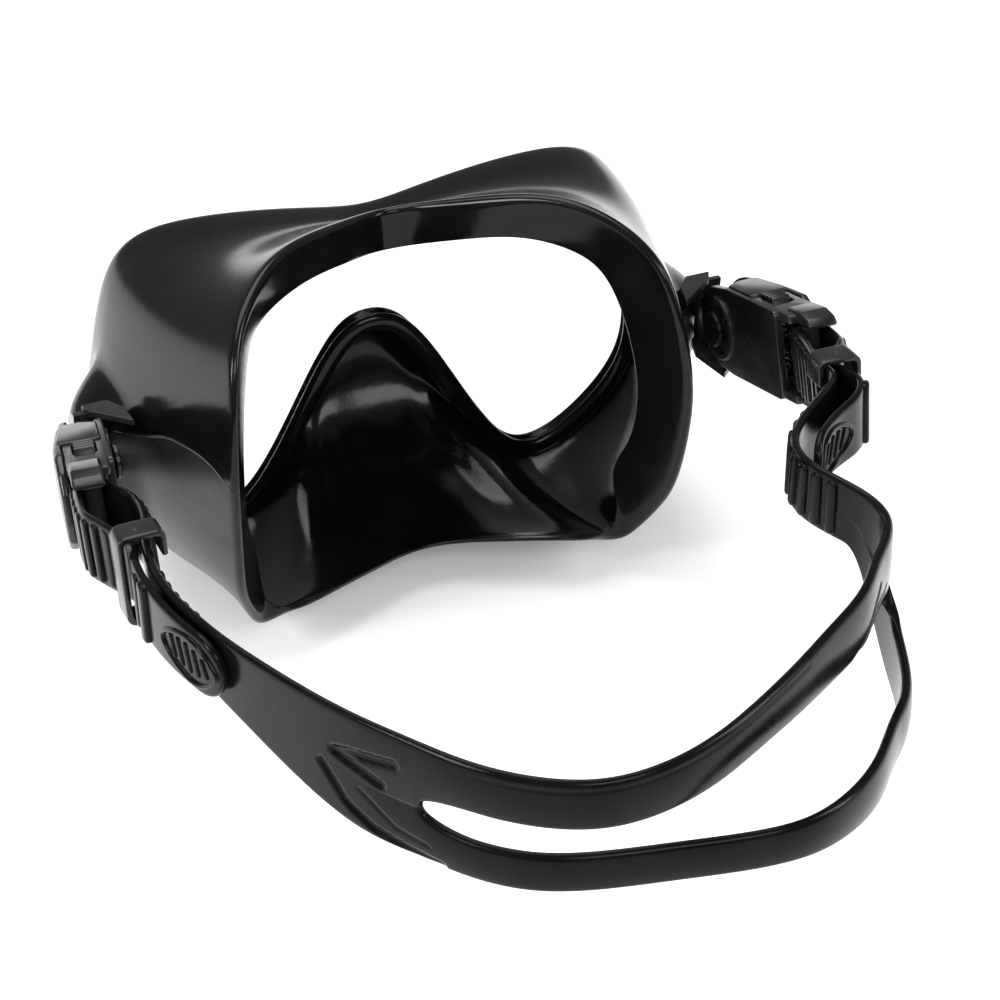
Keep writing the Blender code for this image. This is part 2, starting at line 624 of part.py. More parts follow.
def build_button_spring(side, word, parent, col):
    """A compression coil between the centre rib and the button."""
    sign = 1 if word == "upper" else -1
    turns, per_turn, radius, wire = 3.5, 9, 2.0, 0.32
    lo, hi = 1.1 + 0.3 + wire, 8.4 - 0.3 - wire
    curve = bpy.data.curves.new("coil", "CURVE")
    curve.dimensions = "3D"
    curve.bevel_depth = wire * MM
    curve.bevel_resolution = 1
    curve.use_fill_caps = True
    line = curve.splines.new("POLY")
    count = int(turns * per_turn) + 1
    line.points.add(count - 1)
    for k in range(count):
        a = 2 * math.pi * k / per_turn
        v = lo + (hi - lo) * k / (count - 1)
        line.points[k].co = ((6.5 + radius * math.cos(a)) * MM, (26.0 + radius * math.sin(a)) * MM, sign * v * MM, 1)
    name = f"{side}_{word}_button_spring"
    temp = bpy.data.objects.new(name + "_coil", curve)
    col.objects.link(temp)
    bpy.context.view_layer.update()
    mesh = bpy.data.meshes.new_from_object(temp.evaluated_get(bpy.context.evaluated_depsgraph_get()))
    bpy.data.objects.remove(temp, do_unlink=True)
    bm = bmesh.new()
    bm.from_mesh(mesh)
    bmesh.ops.remove_doubles(bm, verts=bm.verts, dist=1e-6)
    bmesh.ops.recalc_face_normals(bm, faces=bm.faces)
    bm.to_mesh(mesh)
    bm.free()
    mesh.name = name
    obj = bpy.data.objects.new(name, mesh)
    col.objects.link(obj)
    return place(obj, side, parent)


def build_pawl(side, parent, col, cutters):
    """A flap with a hinge barrel at its front and a tooth on the strap's ribs."""
    tag = side + "_"
    pawl = box(tag + "pawl", (9.9, 28.6, -6.5), (11.5, 39.0, 6.5), col, bevel=0.25)
    barrel = cylinder(tag + "pawl_barrel", (10.6, 28.0, 0), 1.3, 13.0, "Z", col, 14)
    combine(pawl, [barrel], "UNION", cutters)
    hole = cylinder(tag + "pawl_bore", (10.6, 28.0, 0), 0.95, 16.0, "Z", cutters, 12)
    combine(pawl, [hole], "DIFFERENCE", cutters)
    return place(pawl, side, parent)


def build_roller(side, parent, col, cutters):
    tag = side + "_"
    roller = cylinder(tag + "strap_roller", (ROLLER_X, ROLLER_U, 0), ROLLER_R, 18.4, "Z", col, 20, bevel=0.3)
    bore = cylinder(tag + "roller_bore", (ROLLER_X, ROLLER_U, 0), ROLLER_PIN_R + 0.3, 30.0, "Z", cutters, 16)
    combine(roller, [bore], "DIFFERENCE", cutters)
    return place(roller, side, parent)


def build_pins(side, parent, col):
    tag = side + "_"
    pin = cylinder(tag + "roller_pin", (ROLLER_X, ROLLER_U, 0), ROLLER_PIN_R, 26.2, "Z", col, 14, bevel=0.15)
    hinge = cylinder(tag + "pawl_pin", (10.6, 28.0, 0), 0.65, 20.0, "Z", col, 12, bevel=0.1)
    return place(pin, side, parent), place(hinge, side, parent)


def build_bracket(side, col, cutters, params):
    """Block seated on the skirt's boss, the swivel tongue it carries, and the
    two pointed guards above and below the swivel."""
    s = 1.0 if side == "left" else -1.0
    px, py, pz = PIVOT["left"]
    name = side + "_swivel_bracket"
    # Room for the skirt: its own wall, a little thicker, over the temple.
    grid, _, _ = skirt_grid(params, WALL_STEPS)
    normals = grid_normals(grid)
    rows = [i for i, p in enumerate(params) if 4.3 < p < 7.8]
    layers = [[grid[i][j] + normals[i][j] * off for i in rows for j in range(WALL_STEPS - 1)]
              for off in (-5.0, WALL_HALF_RIM + 0.45)]
    n, w = len(rows), WALL_STEPS - 1
    faces = []
    for i in range(n - 1):
        for j in range(w - 1):
            p, q = i * w + j, (i + 1) * w + j
            faces += [(p, p + 1, q + 1, q), (n * w + p, n * w + q, n * w + q + 1, n * w + p + 1)]
    ring = list(range(w)) + [i * w + w - 1 for i in range(1, n)] + \
        [(n - 1) * w + j for j in range(w - 2, -1, -1)] + [i * w for i in range(n - 2, 0, -1)]
    faces += [(p, q, n * w + q, n * w + p) for p, q in zip(ring, ring[1:] + ring[:1])]
    room = add_mesh(name + "_skirt_room", layers[0] + layers[1], faces, cutters)
    tongue = [(26.0, pz - 6.0), (py, pz - 7.0)]
    for k in range(1, 12):
        a = math.radians(-90 + 180 * k / 12)
        tongue.append((py + 7.0 * math.cos(a), pz + 7.0 * math.sin(a)))
    tongue += [(py, pz + 7.0), (26.0, pz + 0.8)]
    block = [(24.5, pz - 9.0), (33.0, pz - 9.0), (33.0, pz), (34.0, pz + 7.4), (32.0, pz + 7.0), (24.5, pz + 0.8)]
    bracket = prism(name, block, px - 0.5, px + 5.8, "X", col)
    parts = [prism(name + "_tongue", tongue, px + 3.6, px + 5.8, "X", col)]
    upper = [(px + 3.0, 31.5), (px + 1.6, 35.0), (px - 1.2, 37.0), (px - 8.6, 43.0), (px - 7.6, 36.0), (px - 4.0, 31.5)]
    lower = [(px + 4.0, 25.0), (px + 4.8, 46.5), (px + 0.6, 50.5), (px - 3.0, 38.0), (px - 0.5, 25.0)]
    for outline, lo, hi, word in ((upper, pz + 6.8, pz + 8.6, "upper"), (lower, pz - 15.2, pz - 13.4, "lower")):
        parts.append(prism(f"{name}_{word}_guard", outline, lo, hi, "Z", col))
    parts.append(box(name + "_web", (px - 0.5, 29.0, pz - 15.0), (px + 3.0, 33.5, pz), col))
    combine(bracket, parts, "UNION", cutters)
    hole = cylinder(name + "_hole", (px + 4.0, py, pz), 2.75, 12.0, "X", cutters, 20)
    combine(bracket, [hole, room], "DIFFERENCE", cutters)
    room.hide_render = True
    room.display_type = "WIRE"
    if s < 0:
        for v in bracket.data.vertices:
            v.co.x = -v.co.x
        bracket.data.flip_normals()
    return bracket


def build_swivel_pin(side, col, cutters):
    s = 1.0 if side == "left" else -1.0
    px, py, pz = PIVOT["left"]
    pin = cylinder(side + "_swivel_pin", (px + 2.4, py, pz), 2.3, 8.4, "X", col, 20)
    head = cylinder(side + "_swivel_pin_head", (px - 1.85, py, pz), 5.0, 1.5, "X", col, 24, bevel=0.3)
    combine(pin, [head], "UNION", cutters)
    if s < 0:
        for v in pin.data.vertices:
            v.co.x = -v.co.x
        pin.data.flip_normals()
    return pin


def keeper_matrix(side):
    x, y = KEEPER[side]
    z = strap_top(y) - STRAP_W / 2
    return Matrix.Translation(Vector((x, y, z)) * MM) @ Euler((math.radians(KEEPER_TILT), 0, 0)).to_matrix().to_4x4() @ \
        Matrix.Rotation(math.radians(KEEPER_TURN[side]), 4, "Z")


def build_keeper(side, col, cutters):
    """An open C clip: full outer wall, top and bottom plates and two short
    inner legs that leave a way in for the strap."""
    tx, ly, hz = (v / 2 for v in KEEPER_SIZE)
    wall = KEEPER_WALL
    keeper = box(side + "_keeper", (-tx, -ly, -hz), (tx, ly, hz), col, bevel=0.9)
    inside = box(side + "_keeper_way", (-tx + wall, -ly - 3, -hz + wall), (tx - wall, ly + 3, hz - wall), cutters)
    mouth = box(side + "_keeper_mouth", (-tx - 3, -ly - 3, -hz + 7.2), (-tx + wall + 1, ly + 3, hz - 7.2), cutters)
    combine(keeper, [inside, mouth], "DIFFERENCE", cutters)
    if side == "right":
        for v in keeper.data.vertices:
            v.co.x = -v.co.x
        keeper.data.flip_normals()
    return keeper


def main():
    clear_scene()
    col = make_collection("diving_mask")
    cutters = make_collection("cutters")
    silicone = material("black_silicone", (0.012, 0.012, 0.013), 0.22)
    strap_mat = material("strap_silicone", (0.014, 0.015, 0.016), 0.28)
    plastic = material("black_nylon", (0.02, 0.021, 0.023), 0.35)
    grip = material("grip_nylon", (0.016, 0.016, 0.018), 0.45)
    glass = material("tempered_glass", (0.93, 0.97, 0.96), 0.03, 0.0, 0.95)
    steel = material("stainless_steel", (0.55, 0.56, 0.57), 0.25, 1.0)

    skirt, params = build_skirt(col)
    finish(skirt, silicone, 50)
    finish(build_lens(col, params), glass, 30)
    finish(build_strap(col), strap_mat, 50)
    for side in ("left", "right"):
        frame = bpy.data.objects.new(side + "_swivel_axis", None)
        frame.matrix_world = buckle_matrix(side)
        frame.empty_display_size = 0.01
        col.objects.link(frame)
        finish(build_bracket(side, col, cutters, params), plastic)
        finish(build_swivel_pin(side, col, cutters), steel)
        finish(build_body(side, frame, col, cutters), plastic)
        finish(build_cover(side, frame, col), plastic)
        for word in ("upper", "lower"):
            finish(build_button(side, word, frame, col), grip)
            finish(build_button_spring(side, word, frame, col), steel, 60)
        finish(build_pawl(side, frame, col, cutters), grip)
        finish(build_roller(side, frame, col, cutters), plastic)
        pin, hinge = build_pins(side, frame, col)
        finish(pin, steel)
        finish(hinge, steel)
        keeper_frame = bpy.data.objects.new(side + "_keeper_frame", None)
        keeper_frame.matrix_world = keeper_matrix(side)
        keeper_frame.empty_display_size = 0.01
        col.objects.link(keeper_frame)
        keeper = build_keeper(side, col, cutters)
        keeper.parent = keeper_frame
        finish(keeper, plastic)
    bpy.context.view_layer.update()


main()
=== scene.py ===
"""Looks of the diving mask: black silicone skirt and strap, one tempered lens,
nylon buckles with squeeze buttons, keepers and steel pins, on a pale floor."""
import math

import bmesh
import bpy
import numpy as np
from mathutils import Euler, Matrix, Vector


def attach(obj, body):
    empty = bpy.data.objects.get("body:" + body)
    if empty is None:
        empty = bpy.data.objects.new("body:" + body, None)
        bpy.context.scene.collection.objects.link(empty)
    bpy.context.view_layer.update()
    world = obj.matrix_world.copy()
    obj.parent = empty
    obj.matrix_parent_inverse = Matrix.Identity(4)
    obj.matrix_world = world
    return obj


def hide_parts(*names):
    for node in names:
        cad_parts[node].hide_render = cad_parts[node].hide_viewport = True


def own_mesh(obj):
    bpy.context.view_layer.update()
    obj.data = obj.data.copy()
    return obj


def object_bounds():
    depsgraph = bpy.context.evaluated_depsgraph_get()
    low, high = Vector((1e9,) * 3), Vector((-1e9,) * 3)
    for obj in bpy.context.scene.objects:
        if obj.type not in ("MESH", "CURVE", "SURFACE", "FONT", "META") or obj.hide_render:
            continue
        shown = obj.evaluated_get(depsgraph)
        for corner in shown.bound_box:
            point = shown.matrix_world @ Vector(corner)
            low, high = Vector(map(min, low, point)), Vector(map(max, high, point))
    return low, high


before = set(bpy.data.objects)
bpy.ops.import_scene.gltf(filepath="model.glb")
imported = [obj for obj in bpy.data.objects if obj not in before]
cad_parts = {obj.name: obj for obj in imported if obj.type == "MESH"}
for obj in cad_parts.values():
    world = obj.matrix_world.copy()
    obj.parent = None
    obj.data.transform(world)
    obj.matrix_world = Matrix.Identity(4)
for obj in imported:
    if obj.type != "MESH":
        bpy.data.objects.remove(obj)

cad_box = [[float(c) for c in p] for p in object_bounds()]
MM = 0.001

# ------------------------------------------------- design values, millimetres
LENS_FRONT_Y = -3.0          # outer face of the glass
LENS_BACK_Y = 1.0            # inner face: 4 mm tempered glass
LENS_OVERLAP = 3.5           # how far the glass runs under the rim
LENS_BEVEL_Y = -2.4          # the front face falls away to here under the rim
LENS_FACE_IN = 0.3           # the flat front face stops this far inside the aperture
GAP = 0.3                    # fit between touching parts

SKIRT_STATIONS = 42          # per half
WALL_STEPS = 10
WALL_HALF_RIM = 1.3          # half wall thickness beside the rim
WALL_HALF_SEAL = 0.9         # and at the face seal
LIP_HALF = 0.65
SEAL_FOLD = 2.8              # length over which the wall folds into the lip

# Skirt sections, from the middle of the brow round the temple and the cheek
# lobe to the apex of the nose notch:
# lens aperture (x, z) | wall guide 1 | wall guide 2 | seal edge | seal lip
SECTIONS = [
    ((0, 28.5), (0, 11, 35), (0, 17, 42), (0, 22, 47.5), (0, 21, 34.5)),
    ((18, 31), (18.5, 13, 37), (18, 24, 46.0), (18, 32.5, 52.5), (16, 33, 41)),
    ((38, 34), (39.8, 19, 39.4), (41, 36, 50.0), (39.5, 50.5, 58), (31.5, 43, 44)),
    ((56, 34.5), (60.3, 22, 39.4), (57.5, 48, 47), (54.5, 68.5, 52), (45, 49.5, 39.5)),
    ((66.5, 30), (70.8, 24, 34.8), (64.5, 57, 38.8), (60, 79.5, 40), (51, 56.5, 33)),
    ((71.5, 18), (77.2, 25, 20), (69, 61, 22), (62.5, 84.5, 21), (54.5, 62, 20)),
    ((74.8, 3), (84, 24, 3), (71, 62, 3), (63, 84.5, 2.5), (56.5, 65, 1.5)),
    ((77.3, -17), (87, 20, -17), (70, 58, -20), (62, 79.5, -20), (55.5, 62, -17)),
    ((74.5, -34.5), (84, 20, -37), (65, 50, -34), (60, 73.5, -34), (53, 57.5, -30)),
    ((63, -49), (70, 18, -54), (58, 44, -46), (56.5, 67, -45.5), (52.6, 60, -40.5)),
    ((49.2, -57), (49, 16, -64), (51, 42, -58), (52.5, 62.3, -51.4), (50.6, 61.4, -46.6)),
    ((39, -52.2), (35, 13, -62), (41, 40, -57), (45.0, 59.9, -51.0), (45.0, 62.4, -48.3)),
    ((29, -36.4), (21, -11, -48), (31, 30, -59), (37.3, 59.5, -48.7), (37.7, 62.8, -46.8)),
    ((19.5, -18), (12.5, -24, -34), (22, 8, -64), (26.6, 54.7, -49.2), (26.9, 58.3, -47.3)),
    ((10, -4), (7, -31, -20), (13.5, -4, -64), (16.8, 50.1, -50), (16.9, 53.8, -48.2)),
    ((0, 0.3), (0, -33, -14), (0, -8, -63), (0, 44.1, -51.8), (0, 47.9, -50.0)),
]
NOSE_FROM, NOSE_TO = 10.0, 12.5   # sections over which the wall turns forward

# Rim profile as (outward from the aperture edge, y), inside to outside.  The
# first set is for the sides, where the wall runs back; the second for the nose
# pocket, where it runs forward.
RIM_SIDE = [(3.7, 4.5), (3.5, 4.5), (3.2, 4.45), (2.8, 4.4), (0.9, 3.9), (-0.2, 2.6),
            (0.0, LENS_BACK_Y + GAP), (LENS_OVERLAP + GAP, LENS_BACK_Y + GAP),
            (LENS_OVERLAP + GAP, LENS_BEVEL_Y - GAP), (0.2, LENS_FRONT_Y - GAP),
            (0.3, -4.4), (1.4, -5.1), (3.8, -5.2), (5.6, -4.2), (6.3, -1.8)]
RIM_NOSE = [(6.1, -3.5), (6.3, 0.4), (5.6, 3.0), (3.3, 4.3), (0.9, 3.9), (-0.2, 2.6),
            (0.0, LENS_BACK_Y + GAP), (LENS_OVERLAP + GAP, LENS_BACK_Y + GAP),
            (LENS_OVERLAP + GAP, LENS_BEVEL_Y - GAP), (0.2, LENS_FRONT_Y - GAP),
            (0.3, -4.3), (1.2, -5.0), (1.8, -5.5), (2.3, -6.0), (2.8, -6.5)]
# Moulded boss on each side of the skirt, under the buckle bracket
BOSS_OUT = 9.5
BOSS_Y = ((-4.0, 19.0), (21.0, 42.0))     # rises over the first span, falls over the second
BOSS_Z = ((-34.0, -14.0), (-2.0, 10.0))

WALL_START_SIDE = (5.3, 4.8)
WALL_START_NOSE = (4.5, -7.0)

# Buckles: one swivel axis through both pivots, along X
PIVOT = {"left": (88.0, 47.0, 3.0), "right": (-88.0, 47.0, 3.0)}
SWIVEL = 20.0                      # degrees up from the mask's own level, at rest
YAW = {"left": 6.6, "right": 2.5}  # how far each buckle opens outward
ROLLER_U, ROLLER_X = 45.0, 6.8     # roller centre in the buckle's own plane
ROLLER_R, ROLLER_PIN_R = 2.4, 0.95
BODY_HALF = 12.6                   # half height of the buckle
COVER_BEND_U, COVER_DRAW_IN = 18.0, 0.14   # ahead of this the cover and walls taper towards the mask

# Strap
STRAP_T = 2.2
STRAP_W = 18.0                     # width through the buckles
TAIL_W = 17.5
TOP_AT_KEEPER, TOP_SLOPE, TOP_ARCH = 42.0, 0.1, 1.7   # upper edge: z = 42 + 0.1 (y - 130), arched a little
KEEPER = {"left": (97.9, 130.2), "right": (-88.0, 119.6)}
KEEPER_TURN = {"left": 3.0, "right": 0.0}
KEEPER_TILT = 9.0
KEEPER_SIZE = (12.0, 7.6, 24.2)    # thickness over both layers, length, height
KEEPER_WALL = 1.5

# Route of the strap seen from above, centre of its thickness.
LEFT_TAIL = [(91.9, 183.5), (94.6, 177.2), (98.7, 163.5), (101.0, 147.5), (100.6, 136.0),
             (99.7, 130.0), (102.2, 120.5), (104.6, 112.0), (105.6, 103.0)]
LEFT_MAIN = [(93.4, 98.0), (92.6, 108.0), (93.6, 118.5), (96.3, 130.0), (97.6, 147.5), (95.4, 162.5),
             (91.3, 177.0), (85.8, 191.0), (79.5, 204.5), (72.3, 217.5)]
UPPER = [(64.0, 229.8), (55.0, 241.8), (43.8, 251.8), (30.0, 257.9), (15.0, 257.3), (1.2, 252.3),
         (-11.9, 244.7), (-24.4, 236.2), (-36.5, 227.1), (-48.3, 217.4), (-57.5, 206.0)]
LOWER = [(63.9, 229.6), (54.8, 241.5), (43.3, 251.0), (29.0, 256.2), (14.0, 259.0), (-0.7, 261.2),
         (-15.2, 261.2), (-28.6, 255.6), (-40.2, 246.0), (-50.0, 234.2), (-59.4, 220.4)]
RIGHT_MAIN = [(-66.0, 193.2), (-64.6, 177.8), (-60.0, 163.3), (-62.6, 149.5), (-73.0, 138.3),
              (-82.9, 128.5), (-85.8, 122.6), (-86.1, 116.8), (-88.0, 108.0), (-90.6, 98.5)]
RIGHT_TAIL = [(-99.8, 97.5), (-97.6, 104.5), (-92.4, 111.2), (-89.6, 116.8), (-89.4, 122.6), (-90.2, 128.2),
              (-88.6, 133.4), (-84.4, 138.6), (-78.6, 142.8), (-72.6, 147.6), (-67.4, 153.4), (-65.0, 158.5)]
# heights at the back of the head, left and right
BAND_UPPER, SLOT, BAND_LOWER = (14.0, 18.0), (9.0, 6.8), (11.0, 15.5)


# ------------------------------------------------------- curves and surfaces
def spline(points, samples, closed_sign=None):
    """Natural cubic spline through rows of points at parameters 0, 1, 2 ...
    closed_sign mirrors three rows past each end, so that the curve crosses the
    symmetry plane squarely."""
    pts = np.array(points, float)
    offset = 0
    if closed_sign is not None:
        sign = np.array(closed_sign, float)
        pts = np.vstack([pts[3:0:-1] * sign, pts, pts[-2:-5:-1] * sign])
        offset = 3
    n = len(pts)
    a = np.zeros((n, n))
    rhs = np.zeros_like(pts)
    a[0, 0] = a[-1, -1] = 1.0
    for i in range(1, n - 1):
        a[i, i - 1:i + 2] = 1, 4, 1
        rhs[i] = 6 * (pts[i + 1] - 2 * pts[i] + pts[i - 1])
    m = np.linalg.solve(a, rhs)
    out = []
    for t in samples:
        u = t + offset
        i = min(max(int(math.floor(u)), 0), n - 2)
        f = u - i
        g = 1 - f
        out.append(g * pts[i] + f * pts[i + 1] + ((g**3 - g) * m[i] + (f**3 - f) * m[i + 1]) / 6)
    return np.array(out)


def smoothstep(x, lo, hi):
    t = min(max((x - lo) / (hi - lo), 0.0), 1.0)
    return t * t * (3 - 2 * t)


def station_parameters(count):
    """Section parameters spaced evenly along the aperture edge."""
    fine = np.linspace(0, len(SECTIONS) - 1, 600)
    edge = spline([s[0] for s in SECTIONS], fine, (-1, 1))
    seal = spline([s[3] for s in SECTIONS], fine, (-1, 1, 1))
    step = np.linalg.norm(np.diff(edge, axis=0), axis=1) + 0.6 * np.linalg.norm(np.diff(seal, axis=0), axis=1)
    run = np.concatenate([[0], np.cumsum(step)])
    return np.interp(np.linspace(0, run[-1], count), run, fine)


def skirt_frame(params):
    """Aperture points, in-plane outward normals and the three guide curves."""
    eps = 1e-3
    edge = spline([s[0] for s in SECTIONS], params, (-1, 1))
    ahead = spline([s[0] for s in SECTIONS], params + eps, (-1, 1))
    behind = spline([s[0] for s in SECTIONS], params - eps, (-1, 1))
    tangent = ahead - behind
    tangent /= np.linalg.norm(tangent, axis=1)[:, None]
    normal = np.column_stack([-tangent[:, 1], tangent[:, 0]])
    if normal[0][1] < 0:
        normal = -normal
    guides = [spline([s[k] for s in SECTIONS], params, (-1, 1, 1)) for k in (1, 2, 3, 4)]
    return edge, normal, guides


def nose_weight(p):
    return smoothstep(p, NOSE_FROM, NOSE_TO)


def rim_point(edge, normal, out, y):
    q = edge + normal * out
    return np.array([q[0], y, q[1]])


def boss(q):
    """How far the side boss pushes a point of the wall outward."""
    (y0, y1), (y2, y3) = BOSS_Y
    (z0, z1), (z2, z3) = BOSS_Z
    if q[0] < 50.0:
        return 0.0
    return BOSS_OUT * smoothstep(q[1], y0, y1) * (1 - smoothstep(q[1], y2, y3)) * \
        smoothstep(q[2], z0, z1) * (1 - smoothstep(q[2], z2, z3))


def grid_normals(grid):
    """Unit normals of the middle surface; the ends mirror in X = 0."""
    flip = np.array([-1.0, 1.0, 1.0])
    ahead = np.concatenate([grid[1:], grid[-2:-1] * flip])
    behind = np.concatenate([grid[1:2] * flip, grid[:-1]])
    along = np.gradient(grid, axis=1)
    n = np.cross(ahead - behind, along)
    n /= np.linalg.norm(n, axis=2)[:, :, None]
    side = len(grid) // 3
    return n if n[side][2][0] > 0 else -n


def strap_top(y):
    """Height of the strap's upper edge: it climbs with the tilted buckle and
    levels off behind the keeper."""
    climb = PIVOT["left"][2] + (y - PIVOT["left"][1]) * math.tan(math.radians(SWIVEL)) + STRAP_W / 2
    level = TOP_AT_KEEPER + TOP_SLOPE * (y - 130.0) + TOP_ARCH * math.sin(math.pi * min(max((y - 130.0) / 130.0, 0.0), 1.0))
    k = 5.0
    h = min(max(0.5 + 0.5 * (level - climb) / k, 0.0), 1.0)
    return level * (1 - h) + climb * h - k * h * (1 - h)


def strap_lean(y):
    """The width of the strap leans with the buckle and stands up behind it."""
    if y < 112.0:
        return math.radians(SWIVEL)
    if y < 130.0:
        return math.radians(SWIVEL + (KEEPER_TILT - SWIVEL) * smoothstep(y, 112.0, 130.0))
    return math.radians(KEEPER_TILT * (1 - smoothstep(y, 130.0, 152.0)))


def buckle_matrix(side):
    """Buckle frame: local x outward, y (u) towards the strap, z (v) up."""
    s = 1.0 if side == "left" else -1.0
    base = Matrix.Translation(Vector(PIVOT[side]) * MM)
    return base @ Euler((math.radians(SWIVEL), 0, 0)).to_matrix().to_4x4() @ \
        Matrix.Rotation(math.radians(-s * YAW[side]), 4, "Z")


def turn_points(side):
    """Centre line of the strap's half turn round the roller, in world mm, from
    the outer layer to the inner one."""
    s = 1.0 if side == "left" else -1.0
    m = buckle_matrix(side)
    r = ROLLER_R + GAP + 0.15 + STRAP_T / 2
    pts = []
    for k in range(9):
        a = math.pi * k / 8
        local = Vector((s * (ROLLER_X + r * math.cos(a)), ROLLER_U - r * math.sin(a), 0.0)) * MM
        pts.append(tuple(c / MM for c in (m @ local)))
    return pts


def keeper_matrix(side):
    x, y = KEEPER[side]
    z = strap_top(y) - STRAP_W / 2
    return Matrix.Translation(Vector((x, y, z)) * MM) @ Euler((math.radians(KEEPER_TILT), 0, 0)).to_matrix().to_4x4() @ \
        Matrix.Rotation(math.radians(KEEPER_TURN[side]), 4, "Z")


def band_heights(s):
    """Upper band, slot and lower band at run s from the middle of the back."""
    t = smoothstep(s, 5.0, 60.0)
    return [a + (b - a) * t for a, b in (BAND_UPPER, SLOT, BAND_LOWER)]


# --------------------------------------------------------------- mesh helpers
def new_object(name, verts, faces, smooth_angle=40.0, scale=MM, recalc=True):
    mesh = bpy.data.meshes.new(name)
    mesh.from_pydata([tuple(float(c) * scale for c in v) for v in verts], [], faces)
    bm = bmesh.new()
    bm.from_mesh(mesh)
    if recalc:
        bmesh.ops.recalc_face_normals(bm, faces=bm.faces)
    bm.to_mesh(mesh)
    bm.free()
    obj = bpy.data.objects.new(name, mesh)
    bpy.context.scene.collection.objects.link(obj)
    soften(obj, smooth_angle)
    return obj


def soften(obj, angle):
    obj.data.shade_smooth()
    obj.data.set_sharp_from_angle(angle=math.radians(angle))
    return obj


def bake_modifiers(obj, angle=40.0):
    bpy.context.view_layer.update()
    graph = bpy.context.evaluated_depsgraph_get()
    mesh = bpy.data.meshes.new_from_object(obj.evaluated_get(graph))
    obj.modifiers.clear()
    old = obj.data
    obj.data = mesh
    bpy.data.meshes.remove(old)
    return soften(obj, angle)


def subdivide(obj, levels=1, angle=180.0):
    mod = obj.modifiers.new("subdivision", "SUBSURF")
    mod.levels = mod.render_levels = levels
    return bake_modifiers(obj, angle)


def join(objs, name):
    """One mesh holding all of the objs, each already in the same frame."""
    bm = bmesh.new()
    for o in objs:
        bm.from_mesh(o.data)
    mesh = bpy.data.meshes.new(name)
    bm.to_mesh(mesh)
    bm.free()
    keep = objs[0]
    mats = list(keep.data.materials)
    for o in objs[1:]:
        bpy.data.objects.remove(o)
    keep.data = mesh
    for m in mats:
        mesh.materials.append(m)
    keep.name = name
    return keep


def boolean(target, tools, operation, angle=35.0):
    for tool in tools:
        mod = target.modifiers.new(operation.lower(), "BOOLEAN")
        mod.operation = operation
        mod.solver = "EXACT"
        mod.object = tool
    bake_modifiers(target, angle)
    for tool in tools:
        bpy.data.objects.remove(tool)
    return target


def round_poly(points, radius, steps=5):
    """Closed polygon with each corner rounded; radius is one number or one per corner."""
    pts = [np.array(p, float) for p in points]
    n = len(pts)
    out = []
    for i in range(n):
        r = radius[i] if isinstance(radius, (list, tuple)) else radius
        a, b, c = pts[i - 1], pts[i], pts[(i + 1) % n]
        da, dc = a - b, c - b
        la, lc = np.linalg.norm(da), np.linalg.norm(dc)
        turn = math.acos(np.clip(np.dot(da, dc) / la / lc, -1, 1))
        if r <= 0 or turn > math.pi - 0.03:
            out.append(b)
            continue
        reach = min(r / math.tan(turn / 2), 0.48 * la, 0.48 * lc)
        p, q = b + da / la * reach, b + dc / lc * reach
        for k in range(steps + 1):
            t = k / steps
            out.append((1 - t)**2 * p + 2 * (1 - t) * t * (b + (p + q - 2 * b) * 0.12) + t * t * q)
    return np.array(out)


def inset(poly, d):
    """Polygon moved inward by d along the corner bisectors."""
    poly = np.asarray(poly, float)
    ahead, behind = np.roll(poly, -1, 0) - poly, poly - np.roll(poly, 1, 0)
    ahead /= np.linalg.norm(ahead, axis=1)[:, None] + 1e-12
    behind /= np.linalg.norm(behind, axis=1)[:, None] + 1e-12
    n1 = np.column_stack([-behind[:, 1], behind[:, 0]])
    n2 = np.column_stack([-ahead[:, 1], ahead[:, 0]])
    area = 0.5 * np.sum(poly[:, 0] * np.roll(poly[:, 1], -1) - np.roll(poly[:, 0], -1) * poly[:, 1])
    n = n1 + n2
    length = np.linalg.norm(n, axis=1)[:, None] + 1e-12
    n = n / length
    cosine = np.clip(np.sum(n * n1, axis=1), 0.5, 1.0)[:, None]
    return poly + (1 if area > 0 else -1) * n * d / cosine


def soft_prism(name, poly, lo, hi, axis="X", r_lo=0.4, r_hi=0.4, crown=0.0, steps=3, mid=0, angle=40.0, cap_in=0.0):
    """A moulded slab: a rounded outline carried from lo to hi, both rims
    rounded, and the far face optionally crowned.  axis X: outline (u, v) at
    x; axis Y: outline (x, v) at u; axis Z: outline (x, u) at v."""
    rings = []
    for k in range(steps + 1):
        a = math.pi / 2 * k / steps
        rings.append((r_lo * (1 - math.sin(a)), lo + r_lo * (1 - math.cos(a)), 1.0))
    for k in range(1, mid + 1):
        rings.append((0.0, lo + r_lo + (hi - lo - r_lo - r_hi) * k / (mid + 1), 1.0))
    for k in range(steps + 1):
        a = math.pi / 2 * k / steps
        rings.append((r_hi * (1 - math.cos(a)), hi - r_hi * (1 - math.sin(a)), 1.0))
    if crown:
        for f in (0.94, 0.84, 0.66, 0.4):
            rings.append((r_hi, hi + crown * (1 - f * f), f))
    verts, faces, n = [], [], len(poly)
    for d, h, scale in rings:
        outline = inset(poly, d)
        middle = (outline.min(axis=0) + outline.max(axis=0)) / 2
        for a, b in middle + (outline - middle) * scale:
            verts.append({"X": (h, a, b), "Y": (a, h, b), "Z": (a, b, h)}[axis])
    for r in range(len(rings) - 1):
        for i in range(n):
            j = (i + 1) % n
            faces.append((r * n + i, r * n + j, (r + 1) * n + j, (r + 1) * n + i))
    faces.append(tuple(range(n)))
    faces.append(tuple((len(rings) - 1) * n + i for i in range(n)))
    return new_object(name, verts, faces, angle)


